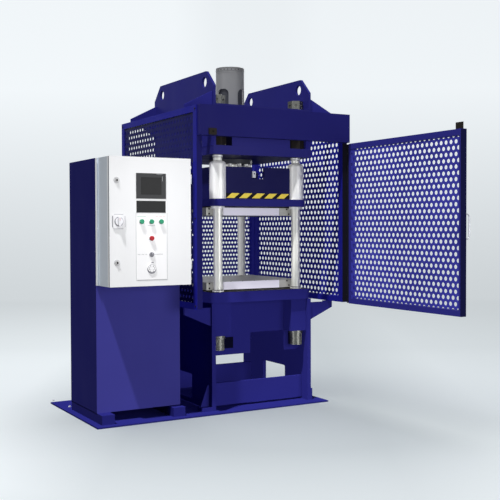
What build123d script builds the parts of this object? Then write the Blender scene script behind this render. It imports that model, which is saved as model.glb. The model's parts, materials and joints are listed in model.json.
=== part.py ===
from build123d import *
import os
from math import cos, radians, sin

# A four-column hydraulic hot-platen press on a floor plate, with perforated guards around its
# working space, a hinged guard door at the front and a control cabinet at its left.
# Millimetres. X runs to the right along the front, Y to the back and Z up. The origin is on the
# floor, midway between the four columns. The guard door stands open and the slide is raised.

os.makedirs("parts", exist_ok=True)

# Columns and their fits
column_spacing_x = 628
column_spacing_y = 788
column_diameter = 60
running_fit = 0.05          # radial clearance of what slides or turns
seat_fit = 0.05             # radial clearance of what is fixed on a column
column_end_setback = 8      # the column ends lie this far inside their nuts
column_lead = 3

# Floor plate
base_thickness = 10
base_front_margin = 91      # beyond the front of the bed
base_right_margin = 87      # beyond the right side plate
base_left_margin = 45       # beyond the cabinet
base_back_margin = 17       # beyond the back of the bed, behind the press alone
base_back_step = 88         # the part behind the cabinet is shorter by this
base_tongue_left_margin = 52

# Lower frame
bed_top = 805
bed_thickness = 72
bed_overhang_x = 84         # from a column's centre to the side of the bed
bed_overhang_y = 69         # from a column's centre to the front of the bed
bed_corner_radius = 40
side_plate_thickness = 30
window_width = 320
window_bottom = 45
window_height = 173
window_radius = 12
web_thickness = 20
web_inset = 118             # from the front of the bed to the face of a cross web
web_height = 371
notch_left = -34
notch_height = 144
beam_height = 155
beam_floor_gap = 15
front_beam_inset = 71
rear_beam_inset = 103
box_inner = 72              # from a column's centre to the inner wall of its box
box_depth = 100
box_height = 226
foot_length = 68
foot_width = 74
foot_height = 25
gusset_width = 65
gusset_top = 12
gusset_height = 141
gusset_thickness = 16
lug_thickness = 12
lug_height = 80

# Nuts
lower_nut_flange_wall = 18
lower_nut_flange = 22
lower_nut_wall = 13
lower_nut_height = 101
slot_count = 6
slot_width = 9
slot_depth = 6
top_nut_gap = 9             # between a top nut and the lifting plate beside it
top_nut_height = 64
tommy_hole_radius = 8
tommy_hole_depth = 12
pocket_nut_gap = 4          # between a pocket nut and the lifting plate beside it
pocket_nut_height = 58
pocket_washer_gap = 2
pocket_washer = 10

# Crosshead
crosshead_clearance = 20    # over the sleeves with the slide at its upper end
crosshead_thickness = 60
crosshead_overhang_x = 74
crosshead_overhang_y = 86
crosshead_web_height = 218
cap_thickness = 60
pocket_side_reach = 92      # from a column's centre to the web at the side of its nut pocket
pocket_front_inset = 28
pocket_depth = 132
lifting_plate_thickness = 18
lifting_shoulder_rise = 120  # above the upper plate of the crosshead
lifting_rise = 226
lifting_slope = 105         # length of the sloping corner along the plate
lifting_corner_radius = 14
lifting_hole_radius = 35
lifting_hole_inset = 135    # from the front or back edge to the hole's centre
lifting_hole_drop = 72      # from the top edge to the hole's centre

# Cylinder, rod and hood
flange_radius = 157
flange_thickness = 32
flange_bolt_count = 12
flange_bolt_radius = 16
flange_bolt_height = 16
flange_bolt_circle = 136
barrel_radius = 110
upper_barrel_radius = 76
barrel_headroom = 97        # between the cylinder's end and the hood's lid
bore_radius = 60
bore_floor = 18             # from the crosshead's underside to the lower end of the bore
bore_end_wall = 15
rod_radius = 45
piston_height = 60
piston_top_gap = 25         # under the end of the bore with the slide as it stands
piston_bottom_gap = 10      # over the lower end of the bore with the slide at its lowest
rod_foot_radius = 75
rod_foot_height = 30
hood_radius = 103
hood_wall = 6
hood_lid = 12
hood_foot_radius = 115
hood_foot_height = 12
hood_window_width = 88
hood_window_sill = 28
hood_window_drop = 156      # from the hood's top to the top of a window
hood_window_corner = 36
hood_window_count = 4
hood_window_clock = -60     # direction of the first window, in degrees from +X
hood_seam_height = 41       # the lid's seam lies this far under the top
hood_seam = 3

# Slide
daylight = 457              # between the platens with the slide as it stands
closed_gap = 27             # between the platens with the slide at its lowest
slide_up = 20
slide_thickness = 50
slide_overhang = 65
slide_corner_radius = 60
sleeve_wall = 26
sleeve_height = 256
sleeve_shoulder_width = 22
sleeve_shoulder_height = 26
spigot_wall = 10
guide_ring_wall = 16
guide_ring_height = 16
slide_web_thickness = 20
slide_web_height = 222
weld_gap = 0.1
front_notch_width = 98
front_notch_depth = 80
side_notch_width = 300
side_notch_depth = 90
trip_block_width = 24
trip_block_height = 44
trip_block_drop = 29
trip_block_depth = 34

# Heating platens
platen_column_gap = 24
platen_side_inset = 5       # from the side of the slide plate
platen_thickness = 54
insulation_thickness = 8
insulation_inset = 6
shield_column_gap = 37
shield_thickness = 12
shield_corner = 7
tool_hole_radius = 6
tool_hole_depth = 26
tool_hole_columns = 6
tool_hole_edge = 25         # from the front or back of the platen
tool_hole_side_edge = 49    # from the side of the platen

# Guards
guard_side_reach = 194      # from the side of the bed
guard_front_reach = 152     # from the front of the crosshead
guard_back_reach = 158
guard_bottom_drop = 93      # below the top of the bed
guard_top_drop = 42         # below the top of the crosshead
guard_tube = 40
guard_post = 50
guard_rail = 42
sheet_thickness = 2
sheet_inset = 4             # from the outer face of a guard frame, or the door's inner face, to the sheet
sheet_overlap = 6           # the sheet's edge lies in a groove of its frame
back_guard_drop = 338       # the back guard ends this far under the others
back_guard_post = 28
sheet_hole = 50
sheet_pitch_x = 2.4         # spacing of the holes in hole sizes
sheet_pitch_z = 2.1
bracket_thickness = 20
bracket_inset = 15          # from the front of the bed or crosshead to the bracket's face
upper_bracket_rise = 125
upper_bracket_tip = 22
upper_bracket_root = 240
lower_bracket_tip = 40
lower_bracket_root = 125
bracket_pad_length = 72
bracket_gap = 8

# Front cover and its door switch
cover_depth = 42
cover_height = 196
cover_side_inset = 6
cover_wall = 3
switch_inset = 60           # from the cover's left end
switch_width = 53
switch_rise = 3
switch_height = 43
switch_depth = 14
switch_corner = 4
switch_hole_radius = 6
switch_hole_depth = 6

# Guard door
door_hinge_reach = 8        # from the guard's outer face to the hinge axis
door_hinge_gap = 2          # between the guard posts and the closed door
door_open_angle = 90
door_hinge_edge = 8         # from the hinge axis to the door's edge
door_free_inset = 54        # the closed door is this much narrower than the guards are apart
door_thickness = 40
door_drop = 10              # below the guards
door_top_gap = 4
door_stile = 22
door_rail = 38
hinge_count = 3
hinge_pin_radius = 4
hinge_barrel_radius = 7
hinge_knuckle = 34
hinge_knuckle_gap = 0.5
hinge_leaf = 3
hinge_leaf_reach = 34
hinge_end_inset = 150
handle_rise = 461           # from the door's bottom to the handle
handle_length = 160
handle_reach = 42
handle_rod_radius = 4.5
handle_bend = 20
handle_inset = 14
handle_foot_radius = 8
handle_foot = 4
actuator_inset = 50
actuator_width = 62
actuator_drop = 36
actuator_rise = 49
actuator_reach = 16
actuator_plate = 6

# Control cabinet
cabinet_gap = 23            # between the left guard and the cabinet
cabinet_width = 580
cabinet_setback = 42        # from the front of the bed
cabinet_depth = 496
cabinet_top = 1680
cabinet_wall = 3
skid_height = 60
skid_width = 84
skid_inset = 3
skid_front_reach = 85
tank_height = 420
tank_inset = 40
tank_wall = 4
motor_radius = 110
motor_height = 330
motor_flange_radius = 130
motor_flange = 20

# Switch enclosure on the cabinet's front
enclosure_inset = 13        # from the cabinet's left side
enclosure_right_inset = 16  # from the cabinet's right side
enclosure_depth = 171
enclosure_height = 802
enclosure_wall = 3
enclosure_flange_reach = 12
enclosure_flange = 6
door_tray_depth = 32
door_tray_gap = 2
tray_hinge_gap = 0.5        # between the enclosure's side and its hinge knuckles
tray_hinge_setback = 6      # from the door's face to the hinge axis
tray_hinge_inset = 130      # from the door's ends to the middle of each hinge
tray_knuckle_radius = 4
tray_knuckle = 30
tray_pin_radius = 2
tray_leaf = 3
tray_leaf_reach = 24
plate_inset = 40
plate_standoff = 16
plate_thickness = 3
boss_radius = 8
device_rows = ((0.776, 45, 70, 60), (0.526, 36, 46, 48), (0.249, 85, 110, 75))

# Controls on the enclosure's door, by their place from its left and bottom edges. The shares are
# parts of the control plate's height
display_left = 176
display_top_inset = 100
display_width = 200
display_height = 158
display_bezel = 5
display_body_inset = 12
display_body_gap = 0.5
display_body_depth = 28
screen_width_share = 0.70
screen_height_share = 0.68
screen_recess = 1
plate_left = 175
plate_bottom = 40
plate_display_gap = 12
control_plate_width = 207
control_plate_thickness = 2
label_band_height = 76
label_band = 1
button_pitch = 66
button_centre_x = 277
button_row_share = 0.7358
stop_button_share = 0.5244
selector_share = 0.3191
sounder_share = 0.1524
bezel_radius = 17.5
bezel_height = 4
button_radius = 14.5
button_gap = 0.5
button_proud = 9
button_edge = 2
button_travel = 4
stem_radius = 7
stem_length = 22
selector_proud = 16
selector_bar_width = 7
selector_bar_inset = 2
sounder_radius = 28
sounder_height = 5
sounder_hole_radius = 2.5
sounder_hole_circle = 17
sounder_hole_count = 6
lock_x = 48
lock_upper_drop = 147
lock_lower_rise = 149
lock_plate_radius = 17
lock_plate = 3
lock_core_radius = 10
lock_proud = 5
lock_key_radius = 5
lock_key_depth = 4
cam_length = 34
cam_width = 16
cam_thickness = 3
cam_depth = 14
switch_x = 60
switch_drop = 400
rotary_plate_width = 76
rotary_plate_height = 86
rotary_plate = 6
rotary_corner = 10
rotary_knob_radius = 24
rotary_knob_height = 18
rotary_grip_width = 14
rotary_grip_length = 56
rotary_grip_height = 12

# Places worked out from the driving sizes, from the floor up to the hood
column_radius = column_diameter / 2
column_x = column_spacing_x / 2
column_y = column_spacing_y / 2
column_centres = [(x, y) for x in (-column_x, column_x) for y in (-column_y, column_y)]
bed_half_x = column_x + bed_overhang_x
bed_half_y = column_y + bed_overhang_y
bed_bottom = bed_top - bed_thickness
side_inner_x = bed_half_x - side_plate_thickness
web_face = bed_half_y - web_inset
web_bottom = bed_bottom - web_height
box_bottom = bed_bottom - box_height
lower_nut_bottom = box_bottom - lower_nut_height
lower_nut_radius = column_radius + lower_nut_wall
lower_nut_flange_radius = column_radius + lower_nut_flange_wall
column_bottom = lower_nut_bottom + column_end_setback
lower_platen_bottom = bed_top + insulation_thickness
upper_platen_bottom = lower_platen_bottom + platen_thickness + daylight
slide_bottom = upper_platen_bottom + platen_thickness + insulation_thickness
slide_down = daylight - closed_gap
slide_top = slide_bottom + slide_thickness
slide_half_x = column_x + slide_overhang
slide_half_y = column_y + slide_overhang
sleeve_radius = column_radius + sleeve_wall
sleeve_spigot_radius = column_radius + spigot_wall
guide_ring_radius = column_radius + guide_ring_wall
platen_width = 2 * (slide_half_x - platen_side_inset)
platen_depth = column_spacing_y - column_diameter - 2 * platen_column_gap
shield_width = column_spacing_x - column_diameter - 2 * shield_column_gap
tool_hole_pitch = (platen_width - 2 * tool_hole_side_edge) / (tool_hole_columns - 1)
crosshead_half_x = column_x + crosshead_overhang_x
crosshead_half_y = column_y + crosshead_overhang_y
crosshead_bottom = slide_top + sleeve_height + slide_up + crosshead_clearance
crosshead_top = crosshead_bottom + crosshead_thickness
cap_bottom = crosshead_top + crosshead_web_height
cap_top = cap_bottom + cap_thickness
pocket_inner = column_x - pocket_side_reach
column_top = cap_top + top_nut_height - column_end_setback
lifting_inner_x = crosshead_half_x - lifting_plate_thickness
lifting_shoulder = cap_top + lifting_shoulder_rise
lifting_top = cap_top + lifting_rise
lifting_top_half = crosshead_half_y - lifting_slope
lifting_hole_y = crosshead_half_y - lifting_hole_inset
lifting_hole_z = lifting_top - lifting_hole_drop
top_nut_radius = lifting_inner_x - column_x - top_nut_gap
pocket_nut_radius = lifting_inner_x - column_x - pocket_nut_gap
pocket_washer_radius = lifting_inner_x - column_x - pocket_washer_gap
bore_bottom = crosshead_bottom + bore_floor
piston_bottom = bore_bottom + piston_bottom_gap + slide_down
piston_top = piston_bottom + piston_height
bore_top = piston_top + piston_top_gap
barrel_top = bore_top + bore_end_wall
hood_top = barrel_top + barrel_headroom + hood_lid

# Places of the guards and of their door
guard_outer_x = bed_half_x + guard_side_reach
guard_inner_x = guard_outer_x - guard_tube
guard_front = -crosshead_half_y - guard_front_reach
guard_back = crosshead_half_y + guard_back_reach
guard_bottom = bed_top - guard_bottom_drop
guard_top = cap_top - guard_top_drop
back_guard_top = guard_top - back_guard_drop
cover_front = guard_front - cover_depth
cover_bottom = guard_top - cover_height
cover_half = guard_outer_x - cover_side_inset
switch_left = -cover_half + switch_inset
switch_bottom = cover_bottom + switch_rise
door_hinge_x = guard_outer_x + door_hinge_reach
door_width = 2 * guard_outer_x - door_free_inset
door_bottom = guard_bottom - door_drop
door_top = cover_bottom - door_top_gap
handle_low = door_bottom + handle_rise

# Places of the cabinet, of the enclosure and of its controls
cabinet_right = -guard_outer_x - cabinet_gap
cabinet_left = cabinet_right - cabinet_width
cabinet_front = -bed_half_y + cabinet_setback
cabinet_bottom = base_thickness + skid_height
enclosure_left = cabinet_left + enclosure_inset
enclosure_right = cabinet_right - enclosure_right_inset
enclosure_bottom = cabinet_top - enclosure_height
enclosure_mouth = cabinet_front - enclosure_depth
tray_back = enclosure_mouth - door_tray_gap
tray_front = tray_back - door_tray_depth
tray_hinge_x = enclosure_right + tray_hinge_gap + tray_knuckle_radius
tray_hinge_y = tray_front + tray_hinge_setback
tray_hinge_heights = (enclosure_bottom + tray_hinge_inset, cabinet_top - tray_hinge_inset)
display_bottom = enclosure_height - display_top_inset - display_height
control_plate_height = display_bottom - plate_display_gap - plate_bottom
button_row_z = plate_bottom + button_row_share * control_plate_height
stop_button_z = plate_bottom + stop_button_share * control_plate_height
selector_z = plate_bottom + selector_share * control_plate_height
sounder_z = plate_bottom + sounder_share * control_plate_height
lock_upper_z = enclosure_height - lock_upper_drop
switch_z = enclosure_height - switch_drop
base_left = cabinet_left - base_left_margin
base_right = bed_half_x + base_right_margin
base_front = -bed_half_y - base_front_margin
base_back = bed_half_y + base_back_margin - base_back_step


def block(x0, x1, y0, y1, z0, z1, mode=Mode.ADD):
    """Adds or cuts a plain rectangular block between the given limits."""
    with Locations(((x0 + x1) / 2, (y0 + y1) / 2, z0)):
        Box(x1 - x0, y1 - y0, z1 - z0, align=(Align.CENTER, Align.CENTER, Align.MIN), mode=mode)


def disc(x, y, z0, z1, radius, mode=Mode.ADD):
    """Adds or cuts an upright cylinder."""
    with Locations((x, y, z0)):
        Cylinder(radius, z1 - z0, align=(Align.CENTER, Align.CENTER, Align.MIN), mode=mode)


def finish(part, name):
    """Labels a finished piece and writes it to its own file."""
    part.label = name
    export_step(part, f"parts/{name}.step")


# Floor plate, wider behind the press, with the two skids that carry the cabinet
with BuildPart() as base_plate:
    tongue_left = -bed_half_x - base_tongue_left_margin
    block(base_left, base_right, base_front, base_back, 0, base_thickness)
    block(tongue_left, base_right, base_back, bed_half_y + base_back_margin, 0, base_thickness)
    skid_lefts = (cabinet_left + skid_inset, cabinet_right - skid_inset - skid_width)
    for skid_left in skid_lefts:
        block(skid_left, skid_left + skid_width, cabinet_front - skid_front_reach,
              cabinet_front + cabinet_depth, base_thickness, cabinet_bottom)
finish(base_plate.part, "base_plate")

# Side plates of the lower frame, each with a low window
for side, side_name in ((-1, "left"), (1, "right")):
    with BuildPart() as side_plate:
        inner = side * side_inner_x
        with BuildSketch(Plane.YZ.offset(inner)):
            with Locations((0, (base_thickness + bed_bottom) / 2)):
                Rectangle(2 * bed_half_y, bed_bottom - base_thickness)
            with Locations((0, window_bottom + window_height / 2)):
                RectangleRounded(window_width, window_height, window_radius, mode=Mode.SUBTRACT)
        extrude(amount=side * side_plate_thickness)
    finish(side_plate.part, f"side_plate_{side_name}")

# Cross webs under the bed, the low beams and the boxes that the columns stand in
with BuildPart() as frame_webs:
    for web_side in (-1, 1):
        face = web_side * web_face
        back = web_side * (web_face - web_thickness)
        block(-side_inner_x, side_inner_x, min(face, back), max(face, back), web_bottom, bed_bottom)
    block(notch_left, column_x - box_inner, -web_face, -web_face + web_thickness,
          web_bottom, web_bottom + notch_height, mode=Mode.SUBTRACT)
    beam_bottom = base_thickness + beam_floor_gap
    front_beam = -bed_half_y + front_beam_inset
    block(-side_inner_x, side_inner_x, front_beam, front_beam + web_thickness,
          beam_bottom, beam_bottom + beam_height)
    rear_beam = bed_half_y - rear_beam_inset
    block(-side_inner_x, side_inner_x, rear_beam - web_thickness, rear_beam,
          beam_bottom, beam_bottom + beam_height)
    for x_side in (-1, 1):
        for y_side in (-1, 1):
            near = x_side * (column_x - box_inner)
            far = x_side * side_inner_x
            inner = y_side * web_face
            outer = y_side * (web_face + box_depth)
            block(min(near, far), max(near, far), min(inner, outer), max(inner, outer),
                  box_bottom, bed_bottom)
    for x, y in column_centres:
        disc(x, y, box_bottom, bed_bottom, column_radius + seat_fit, mode=Mode.SUBTRACT)
finish(frame_webs.part, "frame_webs")

# Feet: pads with tapered gussets at the left, low lugs at the right
with BuildPart() as foot_gussets:
    for y_side in (-1, 1):
        corner = y_side * bed_half_y
        inside = y_side * (bed_half_y - foot_length)
        block(-bed_half_x - foot_width, -bed_half_x, min(corner, inside), max(corner, inside),
              base_thickness, base_thickness + foot_height)
        block(bed_half_x, bed_half_x + lug_thickness, min(corner, inside), max(corner, inside),
              base_thickness, base_thickness + lug_height)
        gusset_y = y_side * (bed_half_y - foot_length + gusset_thickness)
        gusset_foot = base_thickness + foot_height
        with BuildSketch(Plane.XZ.offset(-gusset_y)):
            with BuildLine():
                Polyline((-bed_half_x, gusset_foot), (-bed_half_x - gusset_width, gusset_foot),
                         (-bed_half_x - gusset_top, gusset_foot + gusset_height),
                         (-bed_half_x, gusset_foot + gusset_height), close=True)
            make_face()
        extrude(amount=gusset_thickness / 2, both=True)
finish(foot_gussets.part, "foot_gussets")

# Bed plate with rounded corners, bored for the columns
with BuildPart() as bed_plate:
    block(-bed_half_x, bed_half_x, -bed_half_y, bed_half_y, bed_bottom, bed_top)
    fillet(bed_plate.edges().filter_by(Axis.Z), bed_corner_radius)
    for x, y in column_centres:
        disc(x, y, bed_bottom, bed_top, column_radius + seat_fit, mode=Mode.SUBTRACT)
finish(bed_plate.part, "bed_plate")

# Four columns, with a small lead at both ends
column_names = {(-1, -1): "front_left", (1, -1): "front_right", (-1, 1): "back_left", (1, 1): "back_right"}
for (x_side, y_side), corner_name in column_names.items():
    with BuildPart() as column:
        disc(x_side * column_x, y_side * column_y, column_bottom, column_top, column_radius)
        chamfer(column.edges().group_by(Axis.Z)[0] + column.edges().group_by(Axis.Z)[-1], column_lead)
    finish(column.part, f"column_{corner_name}")

# Nuts on both ends of the columns: slotted round ones with a flange below, and six-sided ones on
# top with a tommy-bar hole in each flat
with BuildPart() as column_nuts:
    for x, y in column_centres:
        disc(x, y, box_bottom - lower_nut_flange, box_bottom, lower_nut_flange_radius)
        disc(x, y, lower_nut_bottom, box_bottom - lower_nut_flange, lower_nut_radius)
        with Locations((x, y, lower_nut_bottom)):
            with PolarLocations(lower_nut_radius, slot_count):
                Box(2 * slot_depth, slot_width, lower_nut_height - lower_nut_flange,
                    align=(Align.CENTER, Align.CENTER, Align.MIN), mode=Mode.SUBTRACT)
    with BuildSketch(Plane.XY.offset(cap_top)):
        with Locations(*column_centres):
            RegularPolygon(top_nut_radius, 6, major_radius=False, rotation=30)
    extrude(amount=top_nut_height)
    for x, y in column_centres:
        with Locations((x, y, cap_top + top_nut_height / 2)):
            with PolarLocations(top_nut_radius, 6):
                Cylinder(tommy_hole_radius, 2 * tommy_hole_depth, rotation=(0, 90, 0), mode=Mode.SUBTRACT)
        disc(x, y, lower_nut_bottom, box_bottom, column_radius + seat_fit, mode=Mode.SUBTRACT)
        disc(x, y, cap_top, cap_top + top_nut_height, column_radius + seat_fit, mode=Mode.SUBTRACT)
finish(column_nuts.part, "column_nuts")

# Dark six-sided nuts on washers in the pockets of the crosshead
with BuildPart() as pocket_nuts:
    with BuildSketch(Plane.XY.offset(crosshead_top)):
        with Locations(*column_centres):
            Circle(pocket_washer_radius)
            Circle(column_radius + seat_fit, mode=Mode.SUBTRACT)
    extrude(amount=pocket_washer)
    with BuildSketch(Plane.XY.offset(crosshead_top + pocket_washer)):
        with Locations(*column_centres):
            RegularPolygon(pocket_nut_radius, 6, major_radius=False, rotation=30)
            Circle(column_radius + seat_fit, mode=Mode.SUBTRACT)
    extrude(amount=pocket_nut_height)
finish(pocket_nuts.part, "pocket_nuts")

# Lower plate of the crosshead
with BuildPart() as crosshead_plate:
    block(-crosshead_half_x, crosshead_half_x, -crosshead_half_y, crosshead_half_y,
          crosshead_bottom, crosshead_top)
    for x, y in column_centres:
        disc(x, y, crosshead_bottom, crosshead_top, column_radius + seat_fit, mode=Mode.SUBTRACT)
    disc(0, 0, crosshead_bottom, crosshead_top, barrel_radius + seat_fit, mode=Mode.SUBTRACT)
finish(crosshead_plate.part, "crosshead_plate")

# Webs of the crosshead, stepped back around the nut pockets
with BuildPart() as crosshead_webs:
    pocket_front = crosshead_half_y - pocket_front_inset - web_thickness / 2
    pocket_back = pocket_front - pocket_depth
    for web_side in (-1, 1):
        with BuildSketch(Plane.XY.offset(crosshead_top)):
            with BuildLine():
                Polyline((-lifting_inner_x, web_side * pocket_back), (-pocket_inner, web_side * pocket_back),
                         (-pocket_inner, web_side * pocket_front), (pocket_inner, web_side * pocket_front),
                         (pocket_inner, web_side * pocket_back), (lifting_inner_x, web_side * pocket_back))
            trace(line_width=web_thickness)
        extrude(amount=cap_bottom - crosshead_top)
finish(crosshead_webs.part, "crosshead_webs")

# Upper plate of the crosshead, between the lifting plates
with BuildPart() as crosshead_cap:
    block(-lifting_inner_x, lifting_inner_x, -crosshead_half_y, crosshead_half_y, cap_bottom, cap_top)
    for x, y in column_centres:
        disc(x, y, cap_bottom, cap_top, column_radius + seat_fit, mode=Mode.SUBTRACT)
    disc(0, 0, cap_bottom, cap_top, upper_barrel_radius + seat_fit, mode=Mode.SUBTRACT)
finish(crosshead_cap.part, "crosshead_cap")

# Side plates of the crosshead, drawn up into lifting plates with two eyes each
for side, side_name in ((-1, "left"), (1, "right")):
    with BuildPart() as lifting_plate:
        with BuildSketch(Plane.YZ.offset(side * lifting_inner_x)) as lifting_sketch:
            with BuildLine():
                Polyline((-crosshead_half_y, crosshead_top), (-crosshead_half_y, lifting_shoulder),
                         (-lifting_top_half, lifting_top), (lifting_top_half, lifting_top),
                         (crosshead_half_y, lifting_shoulder), (crosshead_half_y, crosshead_top), close=True)
            make_face()
            fillet(lifting_sketch.vertices().group_by(Axis.Y)[-1]
                   + lifting_sketch.vertices().group_by(Axis.Y)[-2], lifting_corner_radius)
            with Locations((-lifting_hole_y, lifting_hole_z), (lifting_hole_y, lifting_hole_z)):
                Circle(lifting_hole_radius, mode=Mode.SUBTRACT)
        extrude(amount=side * lifting_plate_thickness)
    finish(lifting_plate.part, f"lifting_plate_{side_name}")

# Hydraulic cylinder: bolted flange, barrel and the bore that the piston runs in
with BuildPart() as cylinder:
    flange_bottom = crosshead_bottom - flange_thickness
    with BuildSketch(Plane.XZ):
        with BuildLine():
            Polyline((rod_radius + running_fit, flange_bottom), (flange_radius, flange_bottom),
                     (flange_radius, crosshead_bottom), (barrel_radius, crosshead_bottom),
                     (barrel_radius, cap_bottom), (upper_barrel_radius, cap_bottom),
                     (upper_barrel_radius, barrel_top), (0, barrel_top), (0, bore_top),
                     (bore_radius, bore_top), (bore_radius, bore_bottom),
                     (rod_radius + running_fit, bore_bottom), close=True)
        make_face()
    revolve(axis=Axis.Z)
    with BuildSketch(Plane.XY.offset(flange_bottom)):
        with PolarLocations(flange_bolt_circle, flange_bolt_count):
            RegularPolygon(flange_bolt_radius, 6)
    extrude(amount=-flange_bolt_height)
finish(cylinder.part, "cylinder")

# Hood over the cylinder's upper end, with a lid and arched windows
with BuildPart() as cylinder_hood:
    disc(0, 0, cap_top, hood_top, hood_radius)
    disc(0, 0, cap_top, cap_top + hood_foot_height, hood_foot_radius)
    disc(0, 0, cap_top, hood_top - hood_lid, hood_radius - hood_wall, mode=Mode.SUBTRACT)
    with BuildSketch(Plane.XY.offset(hood_top - hood_seam_height)):
        Circle(hood_radius + hood_seam)
        Circle(hood_radius - hood_seam / 2, mode=Mode.SUBTRACT)
    extrude(amount=-hood_seam, mode=Mode.SUBTRACT)
    window_height_inside = hood_top - hood_window_drop - cap_top - hood_window_sill
    window_middle = cap_top + hood_window_sill + window_height_inside / 2
    for index in range(hood_window_count):
        window_angle = radians(hood_window_clock + index * 360 / hood_window_count)
        outward = (cos(window_angle), sin(window_angle), 0)
        sideways = (-sin(window_angle), cos(window_angle), 0)
        with BuildSketch(Plane(origin=(0, 0, window_middle), x_dir=sideways, z_dir=outward)):
            RectangleRounded(hood_window_width, window_height_inside, hood_window_corner)
        extrude(amount=hood_radius + hood_wall, mode=Mode.SUBTRACT)
finish(cylinder_hood.part, "cylinder_hood")

# Piston and rod, standing on the slide with a bolted foot
with BuildPart() as piston_rod:
    with BuildSketch(Plane.XZ):
        with BuildLine():
            Polyline((0, slide_top), (rod_foot_radius, slide_top), (rod_foot_radius, slide_top + rod_foot_height),
                     (rod_radius, slide_top + rod_foot_height), (rod_radius, piston_bottom),
                     (bore_radius - running_fit, piston_bottom),
                     (bore_radius - running_fit, piston_top), (0, piston_top), close=True)
        make_face()
    revolve(axis=Axis.Z)
finish(piston_rod.part, "piston_rod")

# Brackets that carry the guards, from the crosshead above and the lower frame below
with BuildPart() as guard_brackets:
    upper_y = crosshead_half_y - bracket_inset - bracket_thickness / 2
    lower_y = bed_half_y - bracket_inset - bracket_thickness / 2
    for x_side in (-1, 1):
        for y_side in (-1, 1):
            with BuildSketch(Plane.XZ.offset(-y_side * upper_y)):
                with BuildLine():
                    Polyline((x_side * crosshead_half_x, guard_top + upper_bracket_rise),
                             (x_side * guard_outer_x, guard_top + upper_bracket_tip),
                             (x_side * guard_outer_x, guard_top), (x_side * guard_inner_x, guard_top),
                             (x_side * crosshead_half_x, guard_top + upper_bracket_rise - upper_bracket_root),
                             close=True)
                make_face()
            extrude(amount=bracket_thickness / 2, both=True)
            lower_top = guard_bottom - bracket_gap
            pad_inner = guard_outer_x - bracket_pad_length
            with BuildSketch(Plane.XZ.offset(-y_side * lower_y)):
                with BuildLine():
                    Polyline((x_side * bed_half_x, lower_top), (x_side * pad_inner, lower_top),
                             (x_side * pad_inner, guard_bottom), (x_side * guard_outer_x, guard_bottom),
                             (x_side * guard_outer_x, lower_top - lower_bracket_tip),
                             (x_side * bed_half_x, lower_top - lower_bracket_root), close=True)
                make_face()
            extrude(amount=bracket_thickness / 2, both=True)
finish(guard_brackets.part, "guard_brackets")


def perforated_sheet(plane, left, right, bottom, top):
    """Draws a sheet with a coarse staggered pattern of six-sided holes."""
    columns = round((right - left) / (sheet_pitch_x * sheet_hole))
    rows = round((top - bottom) / (sheet_pitch_z * sheet_hole))
    pitch_x = (right - left) / (columns + 0.5)
    pitch_z = (top - bottom) / (rows + 0.5)
    places = []
    for row in range(rows):
        shift = 0.25 if row % 2 == 0 else 0.75
        for column_index in range(columns):
            places.append((left + (column_index + shift + 0.25) * pitch_x, bottom + (row + 0.75) * pitch_z))
    with BuildSketch(plane) as sheet_sketch:
        with Locations(((left + right) / 2, (bottom + top) / 2)):
            Rectangle(right - left + 2 * sheet_overlap, top - bottom + 2 * sheet_overlap)
        with Locations(*places):
            RegularPolygon(sheet_hole / 2, 6, mode=Mode.SUBTRACT)
    return sheet_sketch.sketch


# Left and right guards: tube frames with a sheet held in a groove near their outer face
for side, side_name in ((-1, "left"), (1, "right")):
    outer = side * guard_outer_x
    sheet_face = side * (guard_outer_x - sheet_inset)
    field_front = guard_front + guard_post
    field_back = guard_back - guard_post
    field_bottom = guard_bottom + guard_rail
    field_top = guard_top - guard_rail
    field_width = field_back - field_front
    field_height = field_top - field_bottom
    field_centre = ((field_front + field_back) / 2, (field_bottom + field_top) / 2)
    with BuildPart() as guard_frame:
        with BuildSketch(Plane.YZ.offset(outer)):
            with Locations(((guard_front + guard_back) / 2, (guard_bottom + guard_top) / 2)):
                Rectangle(guard_back - guard_front, guard_top - guard_bottom)
            with Locations(field_centre):
                Rectangle(field_width, field_height, mode=Mode.SUBTRACT)
        extrude(amount=-side * guard_tube)
        with BuildSketch(Plane.YZ.offset(sheet_face)):
            with Locations(field_centre):
                Rectangle(field_width + 2 * sheet_overlap, field_height + 2 * sheet_overlap)
        extrude(amount=-side * sheet_thickness, mode=Mode.SUBTRACT)
    finish(guard_frame.part, f"guard_{side_name}_frame")
    with BuildPart() as guard_sheet:
        extrude(perforated_sheet(Plane.YZ.offset(sheet_face), field_front, field_back, field_bottom, field_top),
                amount=-side * sheet_thickness)
    finish(guard_sheet.part, f"guard_{side_name}_sheet")

# Back guard between the two side guards, lower than they are
back_field_half = guard_inner_x - back_guard_post
back_field_bottom = guard_bottom + guard_rail
back_field_top = back_guard_top - guard_rail
back_sheet_face = guard_back - sheet_inset
with BuildPart() as guard_back_frame:
    with BuildSketch(Plane.XZ.offset(-guard_back)):
        with Locations((0, (guard_bottom + back_guard_top) / 2)):
            Rectangle(2 * guard_inner_x, back_guard_top - guard_bottom)
        with Locations((0, (back_field_bottom + back_field_top) / 2)):
            Rectangle(2 * back_field_half, back_field_top - back_field_bottom, mode=Mode.SUBTRACT)
    extrude(amount=guard_tube)
    with BuildSketch(Plane.XZ.offset(-back_sheet_face)):
        with Locations((0, (back_field_bottom + back_field_top) / 2)):
            Rectangle(2 * (back_field_half + sheet_overlap), back_field_top - back_field_bottom + 2 * sheet_overlap)
    extrude(amount=sheet_thickness, mode=Mode.SUBTRACT)
finish(guard_back_frame.part, "guard_back_frame")
with BuildPart() as guard_back_sheet:
    extrude(perforated_sheet(Plane.XZ.offset(-back_sheet_face), -back_field_half, back_field_half,
                             back_field_bottom, back_field_top), amount=sheet_thickness)
finish(guard_back_sheet.part, "guard_back_sheet")

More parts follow.
